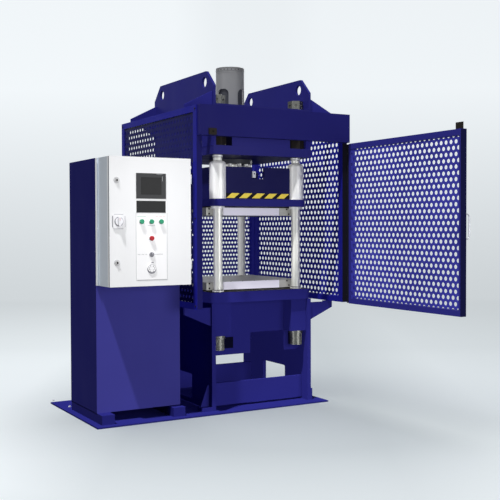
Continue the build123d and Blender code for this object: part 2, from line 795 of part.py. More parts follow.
# Front cover: a folded tray across the top of the front opening
with BuildPart() as front_cover:
    block(-cover_half, cover_half, cover_front, guard_front, cover_bottom, guard_top)
    block(-cover_half + cover_wall, cover_half - cover_wall, cover_front + cover_wall, guard_front,
          cover_bottom + cover_wall, guard_top - cover_wall, mode=Mode.SUBTRACT)
finish(front_cover.part, "front_cover")

# Door switch on the front cover, with the recess that its key covers
with BuildPart() as interlock_switch:
    block(switch_left, switch_left + switch_width, cover_front - switch_depth, cover_front,
          switch_bottom, switch_bottom + switch_height)
    fillet(interlock_switch.edges().filter_by(Axis.Y), switch_corner)
    with Locations(Location((switch_left + switch_width / 2, cover_front - switch_depth,
                             switch_bottom + switch_height / 2), (90, 0, 0))):
        Cylinder(switch_hole_radius, 2 * switch_hole_depth, mode=Mode.SUBTRACT)
finish(interlock_switch.part, "interlock_switch")

# Frame of the guard door, drawn on the plane of its outer face: x runs from the hinge to the
# free edge and y up, and the plane's normal points to the inner face
door_hinge_y = guard_front - door_hinge_gap
door_angle = radians(door_open_angle)
door_along = Vector(-cos(door_angle), -sin(door_angle), 0)
door_outward = Vector(sin(door_angle), -cos(door_angle), 0)
hinge_axis_point = Vector(door_hinge_x, door_hinge_y, 0)
door_outer = Plane(origin=hinge_axis_point + door_outward * door_thickness, x_dir=door_along, z_dir=-door_outward)
door_start = door_hinge_edge
door_end = door_hinge_edge + door_width
door_middle = ((door_start + door_end) / 2, (door_bottom + door_top) / 2)
door_field = (door_width - 2 * door_stile, door_top - door_bottom - 2 * door_rail)
hinge_heights = [door_bottom + hinge_end_inset
                 + index * (door_top - door_bottom - 2 * hinge_end_inset) / (hinge_count - 1)
                 for index in range(hinge_count)]
door_sheet_depth = door_thickness - sheet_inset - sheet_thickness
with BuildPart() as door_frame:
    with BuildSketch(door_outer):
        with Locations(door_middle):
            Rectangle(door_width, door_top - door_bottom)
            Rectangle(*door_field, mode=Mode.SUBTRACT)
    extrude(amount=door_thickness)
    with BuildSketch(door_outer.offset(door_sheet_depth)):
        with Locations(door_middle):
            Rectangle(door_field[0] + 2 * sheet_overlap, door_field[1] + 2 * sheet_overlap)
    extrude(amount=sheet_thickness, mode=Mode.SUBTRACT)
    for height in hinge_heights:
        knuckle_bottom = height + hinge_knuckle_gap
        with Locations(Location((door_hinge_x, door_hinge_y, knuckle_bottom))):
            Cylinder(hinge_barrel_radius, hinge_knuckle, align=(Align.CENTER, Align.CENTER, Align.MIN))
        with BuildSketch(door_outer.offset(door_thickness - hinge_leaf_reach)):
            with Locations((door_hinge_edge - hinge_leaf / 2, knuckle_bottom + hinge_knuckle / 2)):
                Rectangle(hinge_leaf, hinge_knuckle)
        extrude(amount=hinge_leaf_reach)
        with Locations(Location((door_hinge_x, door_hinge_y, knuckle_bottom))):
            Cylinder(hinge_pin_radius + running_fit, hinge_knuckle,
                     align=(Align.CENTER, Align.CENTER, Align.MIN), mode=Mode.SUBTRACT)
finish(door_frame.part, "door_frame")

with BuildPart() as door_sheet:
    extrude(perforated_sheet(door_outer.offset(door_sheet_depth), door_start + door_stile, door_end - door_stile,
                             door_bottom + door_rail, door_top - door_rail), amount=sheet_thickness)
finish(door_sheet.part, "door_sheet")

# Fixed leaves of the door's hinges on the right guard, each with its pin
with BuildPart() as door_hinges:
    for height in hinge_heights:
        knuckle_top = height - hinge_knuckle_gap
        disc(door_hinge_x, door_hinge_y, knuckle_top - hinge_knuckle, knuckle_top, hinge_barrel_radius)
        disc(door_hinge_x, door_hinge_y, knuckle_top, height + hinge_knuckle, hinge_pin_radius)
        block(guard_outer_x, guard_outer_x + hinge_leaf, door_hinge_y + hinge_barrel_radius / 2,
              guard_front + hinge_leaf_reach, knuckle_top - hinge_knuckle, knuckle_top)
finish(door_hinges.part, "door_hinges")

# Bow handle on the door's outer face, near its free edge
handle_s = door_end - handle_inset
handle_top = handle_low + handle_length
door_section = Plane(origin=door_outer.origin + door_along * handle_s, x_dir=door_outward, z_dir=door_along)
with BuildPart() as door_handle:
    bow_side = handle_reach - handle_rod_radius
    bow_bottom = handle_low + handle_rod_radius
    bow_top = handle_top - handle_rod_radius
    with BuildLine(door_section):
        FilletPolyline((0, bow_bottom), (bow_side, bow_bottom), (bow_side, bow_top), (0, bow_top), radius=handle_bend)
    with BuildSketch(Plane(origin=door_outer.origin + door_along * handle_s
                           + Vector(0, 0, handle_low + handle_rod_radius),
                           x_dir=door_along, z_dir=door_outward)):
        Circle(handle_rod_radius)
    sweep()
    for foot_z in (handle_low + handle_rod_radius, handle_top - handle_rod_radius):
        with BuildSketch(Plane(origin=door_outer.origin + door_along * handle_s + Vector(0, 0, foot_z),
                               x_dir=door_along, z_dir=door_outward)):
            Circle(handle_foot_radius)
        extrude(amount=handle_foot)
finish(door_handle.part, "door_handle")

# Key of the door switch: a block on the door's outer face with a plate that rises above the door
with BuildPart() as door_actuator:
    actuator_middle = door_end - actuator_inset - actuator_width / 2
    with BuildSketch(door_outer):
        with Locations((actuator_middle, door_top - actuator_drop / 2)):
            Rectangle(actuator_width, actuator_drop)
    extrude(amount=-actuator_reach)
    with BuildSketch(door_outer.offset(-actuator_reach)):
        with Locations((actuator_middle, door_top + (actuator_rise - actuator_drop) / 2)):
            Rectangle(actuator_width, actuator_rise + actuator_drop)
    extrude(amount=-actuator_plate)
finish(door_actuator.part, "door_actuator")

# Cabinet: a closed sheet housing with the oil tank and the pump motor inside
with BuildPart() as cabinet:
    cabinet_back = cabinet_front + cabinet_depth
    block(cabinet_left, cabinet_right, cabinet_front, cabinet_back, cabinet_bottom, cabinet_top)
    block(cabinet_left + cabinet_wall, cabinet_right - cabinet_wall, cabinet_front + cabinet_wall,
          cabinet_back - cabinet_wall, cabinet_bottom + cabinet_wall, cabinet_top - cabinet_wall,
          mode=Mode.SUBTRACT)
finish(cabinet.part, "cabinet")

with BuildPart() as oil_tank:
    tank_top = cabinet_bottom + cabinet_wall + tank_height
    block(cabinet_left + tank_inset, cabinet_right - tank_inset, cabinet_front + tank_inset,
          cabinet_back - tank_inset, cabinet_bottom + cabinet_wall, tank_top)
    block(cabinet_left + tank_inset + tank_wall, cabinet_right - tank_inset - tank_wall,
          cabinet_front + tank_inset + tank_wall, cabinet_back - tank_inset - tank_wall,
          cabinet_bottom + cabinet_wall + tank_wall, tank_top - tank_wall, mode=Mode.SUBTRACT)
finish(oil_tank.part, "oil_tank")

with BuildPart() as pump_motor:
    motor_x = (cabinet_left + cabinet_right) / 2
    motor_y = cabinet_front + cabinet_depth / 2
    disc(motor_x, motor_y, tank_top, tank_top + motor_flange, motor_flange_radius)
    disc(motor_x, motor_y, tank_top + motor_flange, tank_top + motor_flange + motor_height, motor_radius)
finish(pump_motor.part, "pump_motor")

# Enclosure body: a tray open to the front, with a flange against the cabinet
with BuildPart() as enclosure_body:
    block(enclosure_left, enclosure_right, enclosure_mouth, cabinet_front, enclosure_bottom, cabinet_top)
    block(enclosure_left - enclosure_flange_reach, enclosure_right + enclosure_flange_reach,
          cabinet_front - enclosure_flange, cabinet_front, enclosure_bottom, cabinet_top)
    block(enclosure_left + enclosure_wall, enclosure_right - enclosure_wall, enclosure_mouth,
          cabinet_front - enclosure_wall, enclosure_bottom + enclosure_wall, cabinet_top - enclosure_wall,
          mode=Mode.SUBTRACT)
    for height in tray_hinge_heights:
        knuckle_bottom = height - tray_knuckle
        knuckle_top = height - hinge_knuckle_gap
        leaf_right = enclosure_right + tray_hinge_gap + tray_leaf
        leaf_back = enclosure_mouth + tray_leaf_reach
        block(enclosure_right + tray_hinge_gap, leaf_right, tray_hinge_y, leaf_back, knuckle_bottom, knuckle_top)
        block(enclosure_right, leaf_right, enclosure_mouth, leaf_back, knuckle_bottom, knuckle_top)
        disc(tray_hinge_x, tray_hinge_y, knuckle_bottom, knuckle_top, tray_knuckle_radius)
        disc(tray_hinge_x, tray_hinge_y, knuckle_top, height + tray_knuckle, tray_pin_radius)
finish(enclosure_body.part, "enclosure_body")

# Mounting plate inside the enclosure, on four bosses, with rows of switchgear
with BuildPart() as mounting_plate:
    inner_back = cabinet_front - enclosure_wall
    plate_front = inner_back - plate_standoff - plate_thickness
    plate_x0 = enclosure_left + plate_inset
    plate_x1 = enclosure_right - plate_inset
    plate_z0 = enclosure_bottom + plate_inset
    plate_z1 = cabinet_top - plate_inset
    block(plate_x0, plate_x1, plate_front, plate_front + plate_thickness, plate_z0, plate_z1)
    boss_y = plate_front + plate_thickness
    for boss_x in (plate_x0 + 2 * boss_radius, plate_x1 - 2 * boss_radius):
        for boss_z in (plate_z0 + 2 * boss_radius, plate_z1 - 2 * boss_radius):
            with BuildSketch(Plane.XZ.offset(-boss_y)):
                with Locations((boss_x, boss_z)):
                    Circle(boss_radius)
            extrude(amount=-plate_standoff)
    for row_share, row_margin, row_height, row_depth in device_rows:
        row_z = plate_z0 + row_share * (plate_z1 - plate_z0)
        block(plate_x0 + row_margin, plate_x1 - row_margin, plate_front - row_depth, plate_front,
              row_z, row_z + row_height)
finish(mounting_plate.part, "mounting_plate")

# Controls are placed on the door's front by their distance from its left and bottom edges
tray_face = Plane.XZ.offset(-tray_front)


def on_tray(x, z):
    """Gives the place of a control on the tray's face, in the face's own coordinates."""
    return enclosure_left + x, enclosure_bottom + z


display_centre = on_tray(display_left + display_width / 2, display_bottom + display_height / 2)
button_places = {
    "button_start": on_tray(button_centre_x - button_pitch, button_row_z),
    "button_close": on_tray(button_centre_x, button_row_z),
    "button_open": on_tray(button_centre_x + button_pitch, button_row_z),
    "button_stop": on_tray(button_centre_x, stop_button_z),
}
selector_place = on_tray(button_centre_x, selector_z)
sounder_place = on_tray(button_centre_x, sounder_z)
lock_places = {"lock_upper": on_tray(lock_x, lock_upper_z), "lock_lower": on_tray(lock_x, lock_lower_rise)}
rotary_place = on_tray(switch_x, switch_z)
stem_places = list(button_places.values()) + [selector_place]

# Enclosure door: a shallow tray with cut-outs for everything that passes through it
with BuildPart() as enclosure_door:
    block(enclosure_left, enclosure_right, tray_front, tray_back, enclosure_bottom, cabinet_top)
    block(enclosure_left + enclosure_wall, enclosure_right - enclosure_wall, tray_front + enclosure_wall,
          tray_back, enclosure_bottom + enclosure_wall, cabinet_top - enclosure_wall, mode=Mode.SUBTRACT)
    with BuildSketch(tray_face):
        with Locations(display_centre):
            Rectangle(display_width - 2 * display_body_inset, display_height - 2 * display_body_inset)
        with Locations(*stem_places):
            Circle(stem_radius + running_fit)
        with Locations(*lock_places.values()):
            Circle(lock_core_radius + running_fit)
        with Locations(rotary_place):
            Circle(stem_radius + running_fit)
    extrude(amount=-enclosure_wall, mode=Mode.SUBTRACT)
    for height in tray_hinge_heights:
        knuckle_bottom = height + hinge_knuckle_gap
        knuckle_top = height + tray_knuckle
        block(enclosure_right, tray_hinge_x, tray_hinge_y - tray_leaf, tray_hinge_y + tray_leaf,
              knuckle_bottom, knuckle_top)
        disc(tray_hinge_x, tray_hinge_y, knuckle_bottom, knuckle_top, tray_knuckle_radius)
        disc(tray_hinge_x, tray_hinge_y, knuckle_bottom, knuckle_top, tray_pin_radius + running_fit,
             mode=Mode.SUBTRACT)
finish(enclosure_door.part, "enclosure_door")

# Touch display: bezel, screen recess and the body behind the door's front
with BuildPart() as display_panel:
    body_margin = 2 * (display_body_inset + display_body_gap)
    with BuildSketch(tray_face):
        with Locations(display_centre):
            Rectangle(display_width, display_height)
    extrude(amount=display_bezel)
    with BuildSketch(tray_face.offset(display_bezel)):
        with Locations(display_centre):
            Rectangle(display_width * screen_width_share, display_height * screen_height_share)
    extrude(amount=-screen_recess, mode=Mode.SUBTRACT)
    with BuildSketch(tray_face):
        with Locations(display_centre):
            Rectangle(display_width - body_margin, display_height - body_margin)
    extrude(amount=-display_body_depth)
finish(display_panel.part, "display_panel")

# Control plate with the dark band at its top, the bezels of the buttons and the sounder
plate_middle = on_tray(plate_left + control_plate_width / 2, plate_bottom + control_plate_height / 2)
band_middle = on_tray(plate_left + display_width / 2, plate_bottom + control_plate_height - label_band_height / 2)
plate_front_face = tray_face.offset(control_plate_thickness)
with BuildPart() as control_plate:
    with BuildSketch(tray_face):
        with Locations(plate_middle):
            Rectangle(control_plate_width, control_plate_height)
        with Locations(*stem_places):
            Circle(stem_radius + running_fit, mode=Mode.SUBTRACT)
    extrude(amount=control_plate_thickness)
    with BuildSketch(plate_front_face):
        with Locations(band_middle):
            Rectangle(display_width, label_band_height)
    extrude(amount=label_band)
    with BuildSketch(plate_front_face):
        with Locations(*stem_places):
            Circle(bezel_radius)
            Circle(button_radius + button_gap, mode=Mode.SUBTRACT)
    extrude(amount=bezel_height)
    with BuildSketch(plate_front_face):
        with Locations(sounder_place):
            Circle(sounder_radius)
            with PolarLocations(sounder_hole_circle, sounder_hole_count):
                Circle(sounder_hole_radius, mode=Mode.SUBTRACT)
    extrude(amount=sounder_height)
finish(control_plate.part, "control_plate")

# Push buttons: a domed cap on a stem that runs back through the door
for button_name, place in button_places.items():
    with BuildPart() as button:
        cap_back = control_plate_thickness + button_travel + button_gap
        with BuildSketch(tray_face.offset(cap_back)):
            with Locations(place):
                Circle(button_radius)
        extrude(amount=button_proud)
        fillet(button.edges().group_by(Axis.Y)[0], button_edge)
        with BuildSketch(tray_face.offset(cap_back)):
            with Locations(place):
                Circle(stem_radius)
        extrude(amount=-stem_length)
    finish(button.part, button_name)

# Selector: a round knob with a raised bar, turning in its bezel
with BuildPart() as mode_selector:
    knob_back = control_plate_thickness + button_gap
    with BuildSketch(tray_face.offset(knob_back)):
        with Locations(selector_place):
            Circle(button_radius)
    extrude(amount=selector_proud / 2)
    with BuildSketch(tray_face.offset(knob_back + selector_proud / 2)):
        with Locations(selector_place):
            Rectangle(selector_bar_width, 2 * (button_radius - selector_bar_inset))
    extrude(amount=selector_proud / 2)
    with BuildSketch(tray_face.offset(knob_back)):
        with Locations(selector_place):
            Circle(stem_radius)
    extrude(amount=-stem_length)
finish(mode_selector.part, "mode_selector")

# Quarter-turn locks: a core in a round plate, with a cam behind the enclosure's edge
for lock_name, place in lock_places.items():
    with BuildPart() as lock:
        with BuildSketch(tray_face.offset(button_gap)):
            with Locations(place):
                Circle(lock_plate_radius)
        extrude(amount=lock_plate)
        with BuildSketch(tray_face.offset(button_gap)):
            with Locations(place):
                Circle(lock_core_radius)
        extrude(amount=lock_plate + lock_proud)
        with BuildSketch(tray_face.offset(button_gap + lock_plate + lock_proud)):
            with Locations(place):
                RegularPolygon(lock_key_radius, 3)
        extrude(amount=-lock_key_depth, mode=Mode.SUBTRACT)
        with BuildSketch(tray_face.offset(button_gap)):
            with Locations(place):
                Circle(lock_core_radius)
        extrude(amount=-cam_depth)
        with BuildSketch(tray_face.offset(-cam_depth + button_gap)):
            with Locations((place[0] - cam_length / 2 + cam_width / 2, place[1])):
                SlotOverall(cam_length, cam_width)
        extrude(amount=-cam_thickness)
    finish(lock.part, lock_name)

# Main switch: a rounded plate with a round knob and a grip bar across it
with BuildPart() as switch_plate:
    with BuildSketch(tray_face):
        with Locations(rotary_place):
            RectangleRounded(rotary_plate_width, rotary_plate_height, rotary_corner)
            Circle(stem_radius + running_fit, mode=Mode.SUBTRACT)
    extrude(amount=rotary_plate)
finish(switch_plate.part, "switch_plate")

with BuildPart() as main_switch:
    knob_face = rotary_plate + button_gap
    with BuildSketch(tray_face.offset(knob_face)):
        with Locations(rotary_place):
            Circle(rotary_knob_radius)
    extrude(amount=rotary_knob_height - rotary_grip_height)
    with BuildSketch(tray_face.offset(knob_face + rotary_knob_height - rotary_grip_height)):
        with Locations(rotary_place):
            SlotOverall(rotary_grip_length, rotary_grip_width, rotation=90)
    extrude(amount=rotary_grip_height)
    with BuildSketch(tray_face.offset(knob_face)):
        with Locations(rotary_place):
            Circle(stem_radius)
    extrude(amount=-stem_length)
finish(main_switch.part, "main_switch")

# Slide plate with rounded corners, carried by the rod and guided by its sleeves
with BuildPart() as slide_plate:
    block(-slide_half_x, slide_half_x, -slide_half_y, slide_half_y, slide_bottom, slide_top)
    fillet(slide_plate.edges().filter_by(Axis.Z), slide_corner_radius)
    for x, y in column_centres:
        disc(x, y, slide_bottom, slide_top, sleeve_spigot_radius + seat_fit, mode=Mode.SUBTRACT)
finish(slide_plate.part, "slide_plate")

# Guide sleeves with rounded shoulders, each with a spigot through the plate and a ring under it
with BuildPart() as slide_sleeves:
    for x, y in column_centres:
        with BuildSketch(Plane(origin=(x, y, 0), x_dir=(1, 0, 0), z_dir=(0, -1, 0))):
            with BuildLine():
                bore = column_radius + running_fit
                sleeve_top = slide_top + sleeve_height
                shoulder_bottom = sleeve_top - sleeve_shoulder_height
                rim = sleeve_radius - sleeve_shoulder_width
                Polyline((bore, slide_bottom), (sleeve_spigot_radius, slide_bottom),
                         (sleeve_spigot_radius, slide_top), (sleeve_radius, slide_top),
                         (sleeve_radius, shoulder_bottom))
                shoulder_middle = (rim + sleeve_shoulder_width * cos(radians(45)),
                                   shoulder_bottom + sleeve_shoulder_height * sin(radians(45)))
                ThreePointArc((sleeve_radius, shoulder_bottom), shoulder_middle, (rim, sleeve_top))
                Polyline((rim, sleeve_top), (bore, sleeve_top), (bore, slide_bottom))
            make_face()
        revolve(axis=Axis((x, y, 0), (0, 0, 1)))
    with BuildSketch(Plane.XY.offset(slide_bottom)):
        with Locations(*column_centres):
            Circle(guide_ring_radius)
            Circle(column_radius + running_fit, mode=Mode.SUBTRACT)
    extrude(amount=-guide_ring_height)
finish(slide_sleeves.part, "slide_sleeves")

# Upright webs between the sleeves, notched in the middle, with a grey trip block at the front
with BuildPart() as slide_webs:
    half_web = slide_web_thickness / 2
    web_top = slide_top + slide_web_height
    for y_side in (-1, 1):
        middle = y_side * column_y
        block(-column_x, column_x, middle - half_web, middle + half_web, slide_top, web_top)
        block(-front_notch_width / 2, front_notch_width / 2, middle - half_web, middle + half_web,
              web_top - front_notch_depth, web_top, mode=Mode.SUBTRACT)
    for x_side in (-1, 1):
        middle = x_side * column_x
        block(middle - half_web, middle + half_web, -column_y, column_y, slide_top, web_top)
        block(middle - half_web, middle + half_web, -side_notch_width / 2, side_notch_width / 2,
              web_top - side_notch_depth, web_top, mode=Mode.SUBTRACT)
    for x, y in column_centres:
        disc(x, y, slide_top, web_top, sleeve_radius + weld_gap, mode=Mode.SUBTRACT)
    block_top = web_top - trip_block_drop
    block(-front_notch_width / 2, -front_notch_width / 2 + trip_block_width, -column_y - trip_block_depth / 2,
          -column_y + trip_block_depth / 2, block_top - trip_block_height, block_top)
finish(slide_webs.part, "slide_webs")


def platen(bottom, top, hole_face):
    """Adds a heating platen with two rows of tool holes in the face that the tool meets."""
    block(-platen_width / 2, platen_width / 2, -platen_depth / 2, platen_depth / 2, bottom, top)
    hole_rows = ((-1, platen_depth / 2 - tool_hole_edge), (1, platen_depth / 2 - tool_hole_edge))
    for row_side, row_y in hole_rows:
        for index in range(tool_hole_columns):
            x = (index - (tool_hole_columns - 1) / 2) * tool_hole_pitch
            low = hole_face if hole_face == bottom else top - tool_hole_depth
            disc(x, row_side * row_y, low, low + tool_hole_depth, tool_hole_radius, mode=Mode.SUBTRACT)


def insulation(bottom):
    """Adds an insulation board a little smaller than the platen."""
    half_x = platen_width / 2 - insulation_inset
    half_y = platen_depth / 2 - insulation_inset
    block(-half_x, half_x, -half_y, half_y, bottom, bottom + insulation_thickness)


def shield(bottom):
    """Adds the pale cover strip on a platen's front."""
    face = -platen_depth / 2
    block(-shield_width / 2, shield_width / 2, face - shield_thickness, face, bottom, bottom + platen_thickness)


with BuildPart() as insulation_lower:
    insulation(bed_top)
finish(insulation_lower.part, "insulation_lower")

with BuildPart() as platen_lower:
    lower_platen_top = lower_platen_bottom + platen_thickness
    platen(lower_platen_bottom, lower_platen_top, lower_platen_top)
finish(platen_lower.part, "platen_lower")

with BuildPart() as shield_lower:
    shield(lower_platen_bottom)
    fillet(shield_lower.edges().filter_by(Axis.Z).group_by(Axis.Y)[0], shield_corner)
finish(shield_lower.part, "shield_lower")

with BuildPart() as insulation_upper:
    insulation(slide_bottom - insulation_thickness)
finish(insulation_upper.part, "insulation_upper")

with BuildPart() as platen_upper:
    platen(upper_platen_bottom, upper_platen_bottom + platen_thickness, upper_platen_bottom)
finish(platen_upper.part, "platen_upper")

with BuildPart() as shield_upper:
    shield(upper_platen_bottom)
    fillet(shield_upper.edges().filter_by(Axis.Z).group_by(Axis.Y)[0], shield_corner)
finish(shield_upper.part, "shield_upper")

print("door hinge", door_hinge_x, door_hinge_y, "tray hinge", tray_hinge_x, tray_hinge_y)
print("daylight", upper_platen_bottom - lower_platen_bottom - platen_thickness, "stroke", slide_down)
print("column top", column_top, "lower nut bottom", lower_nut_bottom, "slide up", slide_up)
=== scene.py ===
import json
import math

import bmesh
import bpy
from mathutils import Matrix, Vector

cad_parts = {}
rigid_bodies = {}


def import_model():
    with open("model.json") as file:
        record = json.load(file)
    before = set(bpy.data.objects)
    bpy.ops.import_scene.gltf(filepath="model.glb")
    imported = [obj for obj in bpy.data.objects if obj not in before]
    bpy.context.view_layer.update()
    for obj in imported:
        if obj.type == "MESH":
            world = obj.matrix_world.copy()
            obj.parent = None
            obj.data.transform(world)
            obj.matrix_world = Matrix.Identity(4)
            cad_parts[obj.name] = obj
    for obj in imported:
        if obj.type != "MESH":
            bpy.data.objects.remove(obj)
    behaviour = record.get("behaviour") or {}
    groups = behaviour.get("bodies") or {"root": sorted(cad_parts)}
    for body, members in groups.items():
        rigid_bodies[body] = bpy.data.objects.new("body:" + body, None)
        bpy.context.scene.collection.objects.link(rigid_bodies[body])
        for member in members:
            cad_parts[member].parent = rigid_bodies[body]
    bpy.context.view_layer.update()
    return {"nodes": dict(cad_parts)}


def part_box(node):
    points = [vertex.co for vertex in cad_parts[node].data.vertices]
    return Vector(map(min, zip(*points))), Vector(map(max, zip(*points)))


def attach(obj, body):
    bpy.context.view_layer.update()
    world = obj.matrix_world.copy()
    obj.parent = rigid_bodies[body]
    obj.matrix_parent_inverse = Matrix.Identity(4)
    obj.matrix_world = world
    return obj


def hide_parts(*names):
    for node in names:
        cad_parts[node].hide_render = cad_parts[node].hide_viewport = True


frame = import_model()
nodes = frame["nodes"]

PRESS = "press"
SLIDE = "slide"
GUARD_DOOR = "guard_door"
BOX_DOOR = "enclosure_door"
FRONT, BACK, UP, DOWN = (0, -1, 0), (0, 1, 0), (0, 0, 1), (0, 0, -1)
# How deep flat pieces sit in what carries them
SUNK = 0.0002


# Materials

def node_tree(name):
    """Starts a material and returns it with its tree, shader and object coordinates."""
    material = bpy.data.materials.new(name)
    material.use_nodes = True
    tree = material.node_tree
    shader = tree.nodes["Principled BSDF"]
    place = tree.nodes.new("ShaderNodeTexCoord")
    return material, tree, shader, place.outputs["Object"]


def noise(tree, place, scale, detail=3.0, stretch=None):
    """Adds a noise texture in metres, drawn out along an axis where stretch is given."""
    if stretch:
        mapping = tree.nodes.new("ShaderNodeMapping")
        mapping.inputs["Scale"].default_value = stretch
        tree.links.new(place, mapping.inputs["Vector"])
        place = mapping.outputs["Vector"]
    texture = tree.nodes.new("ShaderNodeTexNoise")
    texture.inputs["Scale"].default_value = scale
    texture.inputs["Detail"].default_value = detail
    tree.links.new(place, texture.inputs["Vector"])
    return texture.outputs["Fac"]


def ramp(tree, source, low, high, start=0.3, stop=0.7):
    """Maps a texture to a range of values."""
    span = tree.nodes.new("ShaderNodeMapRange")
    span.inputs["From Min"].default_value = start
    span.inputs["From Max"].default_value = stop
    span.inputs["To Min"].default_value = low
    span.inputs["To Max"].default_value = high
    tree.links.new(source, span.inputs["Value"])
    return span.outputs["Result"]


def tint(tree, source, dark, light):
    """Mixes two colours by a texture."""
    mix = tree.nodes.new("ShaderNodeMix")
    mix.data_type = "RGBA"
    mix.inputs["A"].default_value = (*dark, 1.0)
    mix.inputs["B"].default_value = (*light, 1.0)
    tree.links.new(source, mix.inputs["Factor"])
    return mix.outputs["Result"]


def combine(tree, operation, *sources, clamp=False):
    """Works out one value from others."""
    node = tree.nodes.new("ShaderNodeMath")
    node.operation = operation
    node.use_clamp = clamp
    for source, socket in zip(sources, node.inputs):
        tree.links.new(source, socket)
    return node.outputs["Value"]


def measured(tree, operation, place, vector):
    """Measures a place along a direction (DOT_PRODUCT) or from a point (DISTANCE)."""
    node = tree.nodes.new("ShaderNodeVectorMath")
    node.operation = operation
    tree.links.new(place, node.inputs[0])
    node.inputs[1].default_value = vector
    return node.outputs["Value"]


def relief(tree, source, strength, distance, edge=0.0):
    """Turns a texture into bump, over edges softened by the given radius."""
    bump = tree.nodes.new("ShaderNodeBump")
    bump.inputs["Strength"].default_value = strength
    bump.inputs["Distance"].default_value = distance
    tree.links.new(source, bump.inputs["Height"])
    if edge:
        bevel = tree.nodes.new("ShaderNodeBevel")
        bevel.samples = 4
        bevel.inputs["Radius"].default_value = edge
        tree.links.new(bevel.outputs["Normal"], bump.inputs["Normal"])
    return bump.outputs["Normal"]


def scaled(colour, factor):
    """Makes a colour lighter or darker."""
    return tuple(min(1.0, channel * factor) for channel in colour)


def paint(name, colour, rough=0.38, peel=0.25, edge=0.0016, spread=0.10, gloss=0.06):
    """Lacquered steel: slight clouding of the colour, orange peel, softened edges."""
    material, tree, shader, place = node_tree(name)
    cloud = noise(tree, place, 2.3, 4.0)
    colours = tint(tree, cloud, scaled(colour, 1 - spread), scaled(colour, 1 + spread))
    tree.links.new(colours, shader.inputs["Base Color"])
    smear = noise(tree, place, 9.0, 5.0, (1.0, 1.0, 0.35))
    tree.links.new(ramp(tree, smear, rough - 0.05, rough + 0.08), shader.inputs["Roughness"])
    grain = noise(tree, place, 420.0, 2.0)
    tree.links.new(relief(tree, grain, peel, 0.0006, edge), shader.inputs["Normal"])
    shader.inputs["Specular IOR Level"].default_value = gloss
    return material


def metal(name, colour, rough, grain_stretch, grain=0.12, edge=0.001, spread=0.06, metallic=1.0):
    """Bare metal with fine machining marks drawn out along one axis."""
    material, tree, shader, place = node_tree(name)
    shader.inputs["Metallic"].default_value = metallic
    cloud = noise(tree, place, 6.0, 4.0)
    colours = tint(tree, cloud, scaled(colour, 1 - spread), scaled(colour, 1 + spread))
    tree.links.new(colours, shader.inputs["Base Color"])
    marks = noise(tree, place, 60.0, 4.0, grain_stretch)
    tree.links.new(ramp(tree, marks, max(0.03, rough - 0.06), rough + 0.08), shader.inputs["Roughness"])
    if grain:
        tree.links.new(relief(tree, marks, grain, 0.0003, edge), shader.inputs["Normal"])
    return material


def plastic(name, colour, rough, gloss=0.12, grain=0.15, scale=900.0, edge=0.0006):
    """Moulded plastic with a fine spark texture."""
    material, tree, shader, place = node_tree(name)
    cloud = noise(tree, place, 30.0, 3.0)
    colours = tint(tree, cloud, scaled(colour, 0.93), scaled(colour, 1.07))
    tree.links.new(colours, shader.inputs["Base Color"])
    spark = noise(tree, place, scale, 2.0)
    tree.links.new(ramp(tree, spark, rough - 0.04, rough + 0.04), shader.inputs["Roughness"])
    tree.links.new(relief(tree, spark, grain, 0.0002, edge), shader.inputs["Normal"])
    shader.inputs["Specular IOR Level"].default_value = gloss
    return material


# Painted light and shade: the blues below stand for one machine blue, made lighter or darker piece by piece
# for the light that falls on each piece.
frame_paint = paint("frame_blue", (0.0205, 0.0205, 0.172), rough=0.45, gloss=0.0)
floor_paint = paint("floor_plate_blue", (0.0170, 0.0175, 0.150), rough=0.6, gloss=0.0)
plate_paint = paint("slide_plate_blue", (0.0145, 0.0145, 0.125), gloss=0.02)
head_paint = paint("crosshead_blue", (0.0160, 0.0158, 0.122), gloss=0.02)
cover_paint = paint("front_cover_blue", (0.0100, 0.0097, 0.098), gloss=0.02)
lift_paint = paint("lifting_blue", (0.0145, 0.0145, 0.128), gloss=0.02)
# Painted shade: the slide's blue is much darker, for the shade under the front cover.
slide_shaded_paint = paint("slide_shaded_blue", (0.0075, 0.0075, 0.066), gloss=0.03)
guard_paint = paint("guard_blue", (0.0100, 0.0105, 0.180), rough=0.34, gloss=0.02)
door_paint = paint("door_blue", (0.0240, 0.0240, 0.185), rough=0.36, gloss=0.02)
# Painted light and shade on the perforated sheets: their strong clouding stands for patches of sheen and
# shade, and the door's sheet is a lighter copy for the light on its face.
sheet_paint = paint("sheet_blue", (0.0120, 0.0140, 0.200), rough=0.30, gloss=0.03, edge=0.0, spread=0.35)
door_sheet_lit_paint = paint("door_sheet_lit_blue", (0.0360, 0.0380, 0.300), rough=0.30, gloss=0.06, edge=0.0,
                         spread=0.45)
door_shade = paint("door_end_shade", (0.0030, 0.0033, 0.026), rough=0.5, gloss=0.02)
cabinet_paint = paint("cabinet_blue", (0.0450, 0.0440, 0.255), rough=0.45, gloss=0.012)
# Painted shade: a darker, bluer copy of the enclosure's grey for its body, whose side is all that shows.
box_side_shaded_paint = paint("enclosure_body_shaded_grey", (0.52, 0.57, 0.63), rough=0.42, peel=0.3, spread=0.015,
                       gloss=0.1)
box_paint = paint("enclosure_grey", (0.75, 0.755, 0.765), rough=0.42, peel=0.3, spread=0.015, gloss=0.15)
white_paint = paint("cover_white", (0.74, 0.72, 0.83), rough=0.40, spread=0.02, gloss=0.2)
chrome = metal("column_chrome", (0.78, 0.78, 0.73), 0.42, (0.4, 0.4, 3.0), 0.0, 0.0, 0.02, 0.22)
sleeve_steel = metal("sleeve_steel", (0.83, 0.83, 0.81), 0.40, (0.3, 0.3, 4.0), 0.0, 0.0, 0.01, 0.08)
